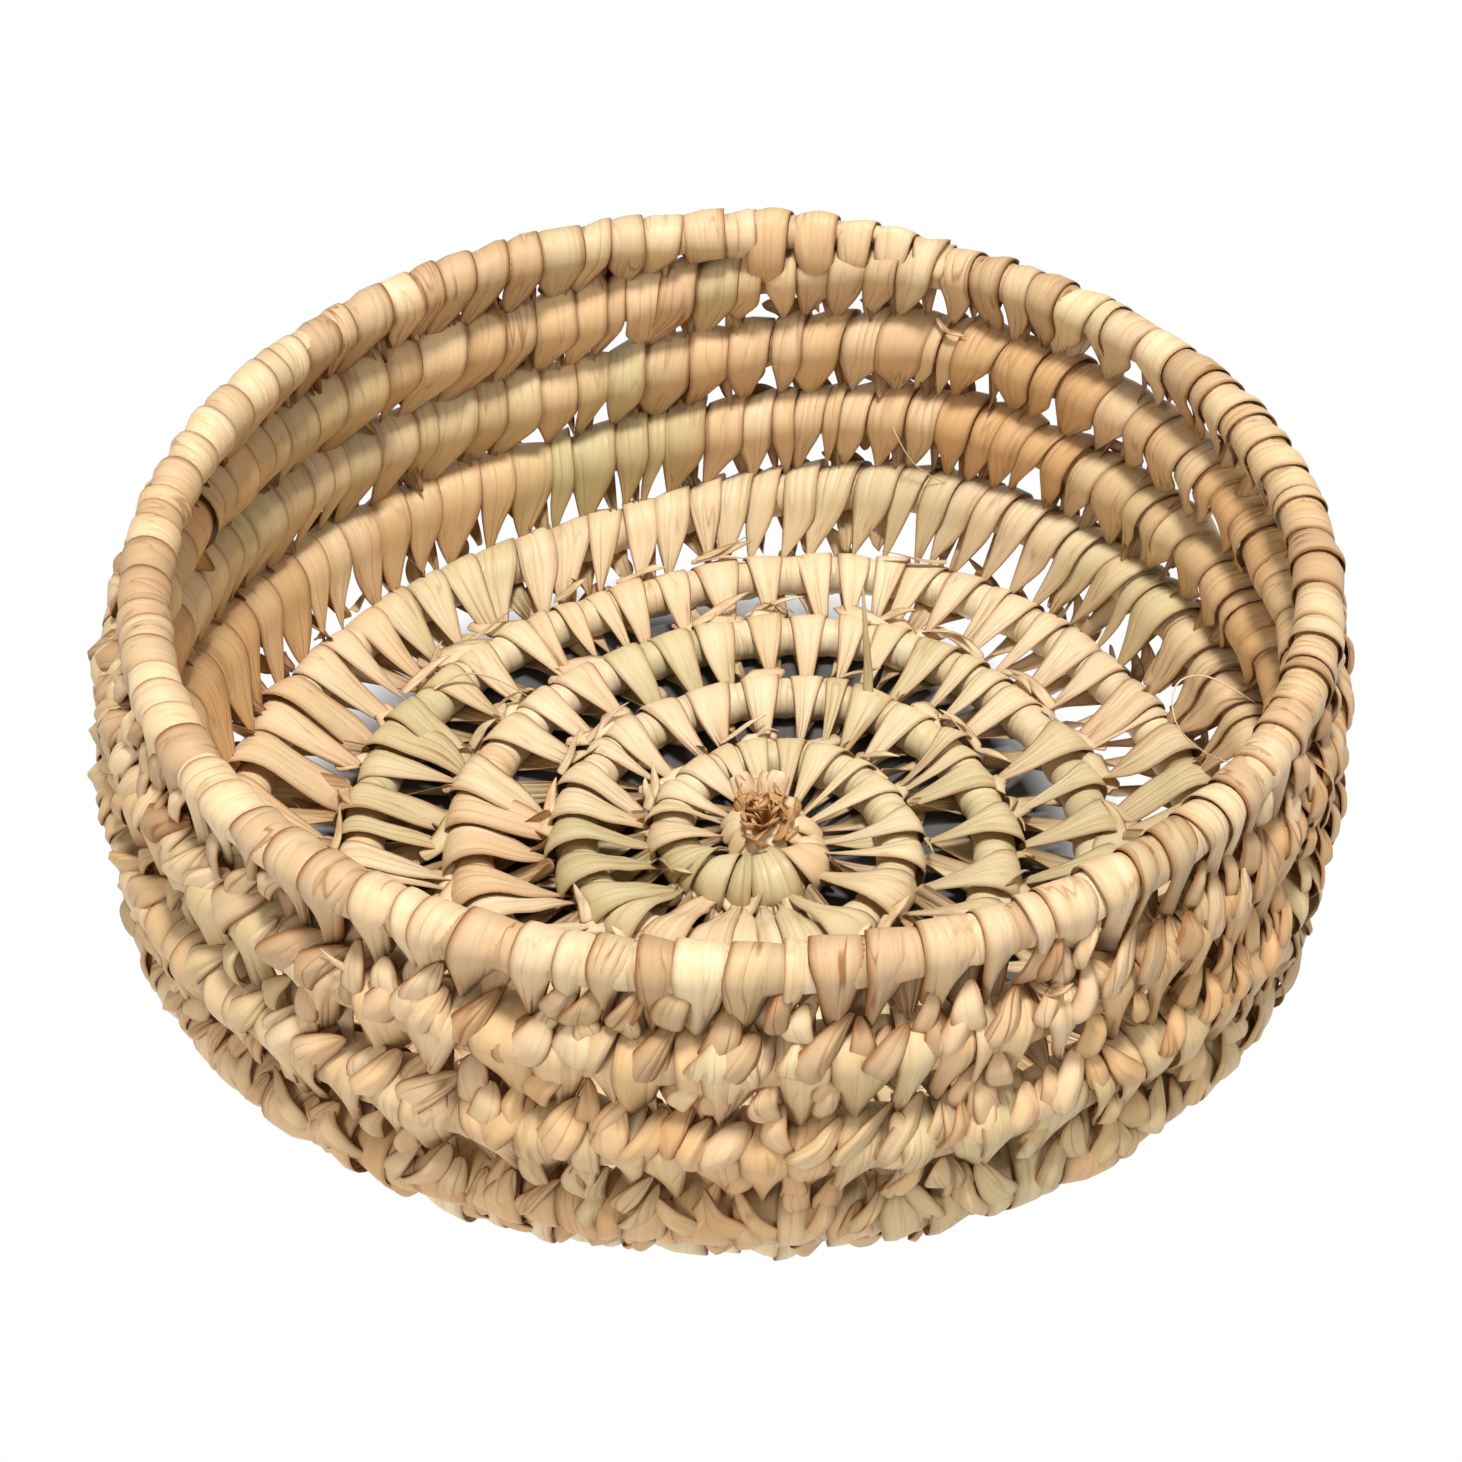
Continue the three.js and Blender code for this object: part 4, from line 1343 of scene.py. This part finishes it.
# Frayed ends that stand off the stitches, most of them on the floor, where each tail of leaf was cut
frays = {
    "count": 90,
    "seed": 21,
    "onFloor": 0.8,  # share of them
    "inside": 0.5,  # share of the wall's that stand off inside
    "floorSpan": (0.04, 0.45),  # shares of the coil's length
    "wallSpan": (0.45, 0.97),
    "lengths": (9 * mm, 22 * mm),
    "wallLength": 0.6,
    "ways": (-1, 1, 1),
    "rise": (0.1, 1.2),
    "wander": (-0.5, 0.9),
    "along": (0, 0.3, 0.65, 1),
    "down": (1.5, 1.3, 1.3, 1.2),  # short of the round before's middle, in its radii
    "downWander": (0, 0, 0.4, 1),
    "inner": (0.3, 0.85, 1.05, 0.95),
    "innerRise": (0, 0, 0.15, 0.4),
    "widths": (1.6 * mm, 4.0 * mm),
    "taper": (1, 1, 0.8, 0.08),
    "twist": (-0.35, 0.35),
    "curl": (-0.2, 0.35),
    "darkEnds": 0.15,
    "rows": 7,
    "thickness": 0.3 * mm,
    "fibreTaper": (1, 0.8, 0.5, 0.2),
    "fibreTwist": 0.1,
    "fibreRows": 16,
}

# Long loose fibres: the turn they start from, then their points from there, in mm to the right, back and up
looseFibres = [
    {"turn": 2.29, "width": 3.2 * mm, "green": 0.7,
     "points": ((0, 0, 3), (0, 2, 12), (-1, 5, 24), (-2, 9, 36))},
    {"turn": 5.43, "width": 0.7 * mm, "green": 0.1,
     "points": ((0, 0, 8), (-13, 4, 14), (-22, -2, 16), (-22, -14, 12), (-10, -22, 8), (4, -20, 12))},
    {"turn": 6.25, "width": 0.8 * mm, "green": 0.2,
     "points": ((0, -4, 6), (2, -9, 0), (8, -13, -9), (17, -14, -15))},
    {"turn": 4.04, "width": 1.2 * mm, "green": 0.5,
     "points": ((0, 0, 6), (8, 3, 9), (17, 2, 8), (26, -3, 6))},
]


def addFray(leaf, seeded):
    onFloor = seeded.random() < frays["onFloor"]
    far = seeded.uniform(*frays["floorSpan" if onFloor else "wallSpan"]) * lengths[-1]
    reach = float(readAlong(reaches, far))
    tied = tiedRadius(far)
    size = seeded.uniform(*frays["lengths"]) * (1 if onFloor else frays["wallLength"])
    way = seeded.choice(frays["ways"])
    side = 1 if onFloor or seeded.random() < frays["inside"] else -1
    rise = seeded.uniform(*frays["rise"])
    wander = seeded.uniform(*frays["wander"])
    alongs, downs, downWanders, inners, innerRises, taper = (
        np.array(frays[k]) for k in ("along", "down", "downWander", "inner", "innerRise", "taper"))
    points = place(far + way * size * alongs, reach - tied * (downs + wander * downWanders),
                   tied * (inners + rise * innerRises) * side)
    wide = seeded.uniform(*frays["widths"])
    twist = seeded.uniform(*frays["twist"])
    tone = (*toneAt(far, seeded), frays["darkEnds"])
    curl = seeded.uniform(*frays["curl"])
    freeRibbon(leaf, points, wide * taper, twist, tone, rows=frays["rows"], curl=curl)


def makeFrays():
    leaf = LeafMesh("frayed_leaf_ends")
    seeded = random.Random(frays["seed"])
    for _ in range(frays["count"]):
        addFray(leaf, seeded)
    for fibre in looseFibres:
        start = readAlong(centres, float(np.interp(fibre["turn"], turns, lengths)))
        points = [start + np.array(point) * mm for point in fibre["points"]]
        widths = fibre["width"] * np.array(frays["fibreTaper"])
        tone = (fibre["green"], 0, 0, 0)
        freeRibbon(leaf, points, widths, frays["fibreTwist"], tone, rows=frays["fibreRows"])
    pressFlat(leaf)
    piece = leaf.finish(leafStrip, frays["thickness"])


makeBoundCore()
print("bound core made")
for number, (name, (first, last)) in enumerate(ranges.items()):
    makeStrip(name, first, last, number)
print("leaf strips made")
makeKnot()
makeFrays()
print("knot and frayed ends made")


# Studio: a white ground that is dark only under the basket, a disc of painted shadow, a small light
# overhead and soft ones from the front left and the right
studio = {
    "groundSize": 6.0,
    # a dark disc of painted shadow under the basket, fading out between these radii round this middle
    "paintedShadowGround": (0.1, 0.095, 0.09, 1),
    "groundRoughness": 0.9,
    "shadeEnds": (0.094, 0.118),
    "shadeMiddle": (-8 * mm, 0, 0),
    "groundGlow": 1.0,
    "keySize": 0.26,
    "keyPower": 20.5,
    "keyPlace": (0.02, -0.12, 1.4),
    "fillSize": 0.6,
    "fillPower": 7.9,
    "fillPlace": (-0.68, -1.16, 0.56),
    "sideSize": 0.4,
    "sidePower": 4.2,
    "sidePlace": (0.75, -0.35, 1.1),
    "aim": (0, 0, 0.05),
    "worldStrength": 0.26,
}


def areaLight(name, spot, size, power):
    data = bpy.data.lights.new(name, "AREA")
    data.shape = "DISK"
    data.size = size
    data.energy = power
    light = bpy.data.objects.new(name, data)
    light.location = spot
    light.rotation_euler = (Vector(studio["aim"]) - Vector(spot)).to_track_quat("-Z", "Y").to_euler()
    bpy.context.scene.collection.objects.link(light)


def groundMaterial():
    material = bpy.data.materials.new("white ground")
    material.use_nodes = True
    tree = material.node_tree
    tree.nodes.clear()
    shade = Shade(tree.nodes, tree.links)
    spot = shade.node("ShaderNodeTexCoord").outputs["Object"]
    away = shade.out(shade.node("ShaderNodeVectorMath", {"operation": "DISTANCE"}, i0=spot,
                                i1=studio["shadeMiddle"]).outputs["Value"])
    # painted shadow under the basket; outside it the ground glows evenly white
    near, far = studio["shadeEnds"]
    outside = ((away - near) * (1 / (far - near))).clamp()
    paintedShadowDisc = shade.node("ShaderNodeBsdfPrincipled", Base_Color=studio["paintedShadowGround"],
                         Roughness=studio["groundRoughness"])
    glow = shade.node("ShaderNodeEmission", Strength=studio["groundGlow"])
    both = shade.node("ShaderNodeMixShader", i0=outside, i1=paintedShadowDisc.outputs[0], i2=glow.outputs[0])
    shade.node("ShaderNodeOutputMaterial", Surface=both.outputs[0])
    return material


def makeStudio():
    mesh = bmesh.new()
    bmesh.ops.create_grid(mesh, x_segments=1, y_segments=1, size=studio["groundSize"] / 2)
    data = bpy.data.meshes.new("white ground")
    mesh.to_mesh(data)
    mesh.free()
    ground = bpy.data.objects.new("white_ground", data)
    bpy.context.scene.collection.objects.link(ground)
    data.materials.append(groundMaterial())
    world = bpy.data.worlds.new("soft studio")
    world.use_nodes = True
    world.node_tree.nodes["Background"].inputs["Color"].default_value = (1, 1, 1, 1)
    world.node_tree.nodes["Background"].inputs["Strength"].default_value = studio["worldStrength"]
    bpy.context.scene.world = world
    areaLight("overhead softbox", studio["keyPlace"], studio["keySize"], studio["keyPower"])
    areaLight("front fill", studio["fillPlace"], studio["fillSize"], studio["fillPower"])
    areaLight("right fill", studio["sidePlace"], studio["sideSize"], studio["sidePower"])


def makeCamera():
    data = bpy.data.cameras.new("photo camera")
    data.lens = cameraSetup["lens"]
    data.sensor_width = cameraSetup["sensor"]
    data.sensor_fit = "HORIZONTAL"
    camera = bpy.data.objects.new("photo camera", data)
    camera.location = Vector(cameraSetup["fromRim"]) + Vector(shift)
    camera.rotation_euler = (math.radians(90 - cameraSetup["elevation"]), 0, 0)
    bpy.context.scene.collection.objects.link(camera)
    bpy.context.scene.camera = camera
    bpy.context.scene.view_settings.view_transform = "Standard"


makeStudio()
makeCamera()
print("studio and camera made")
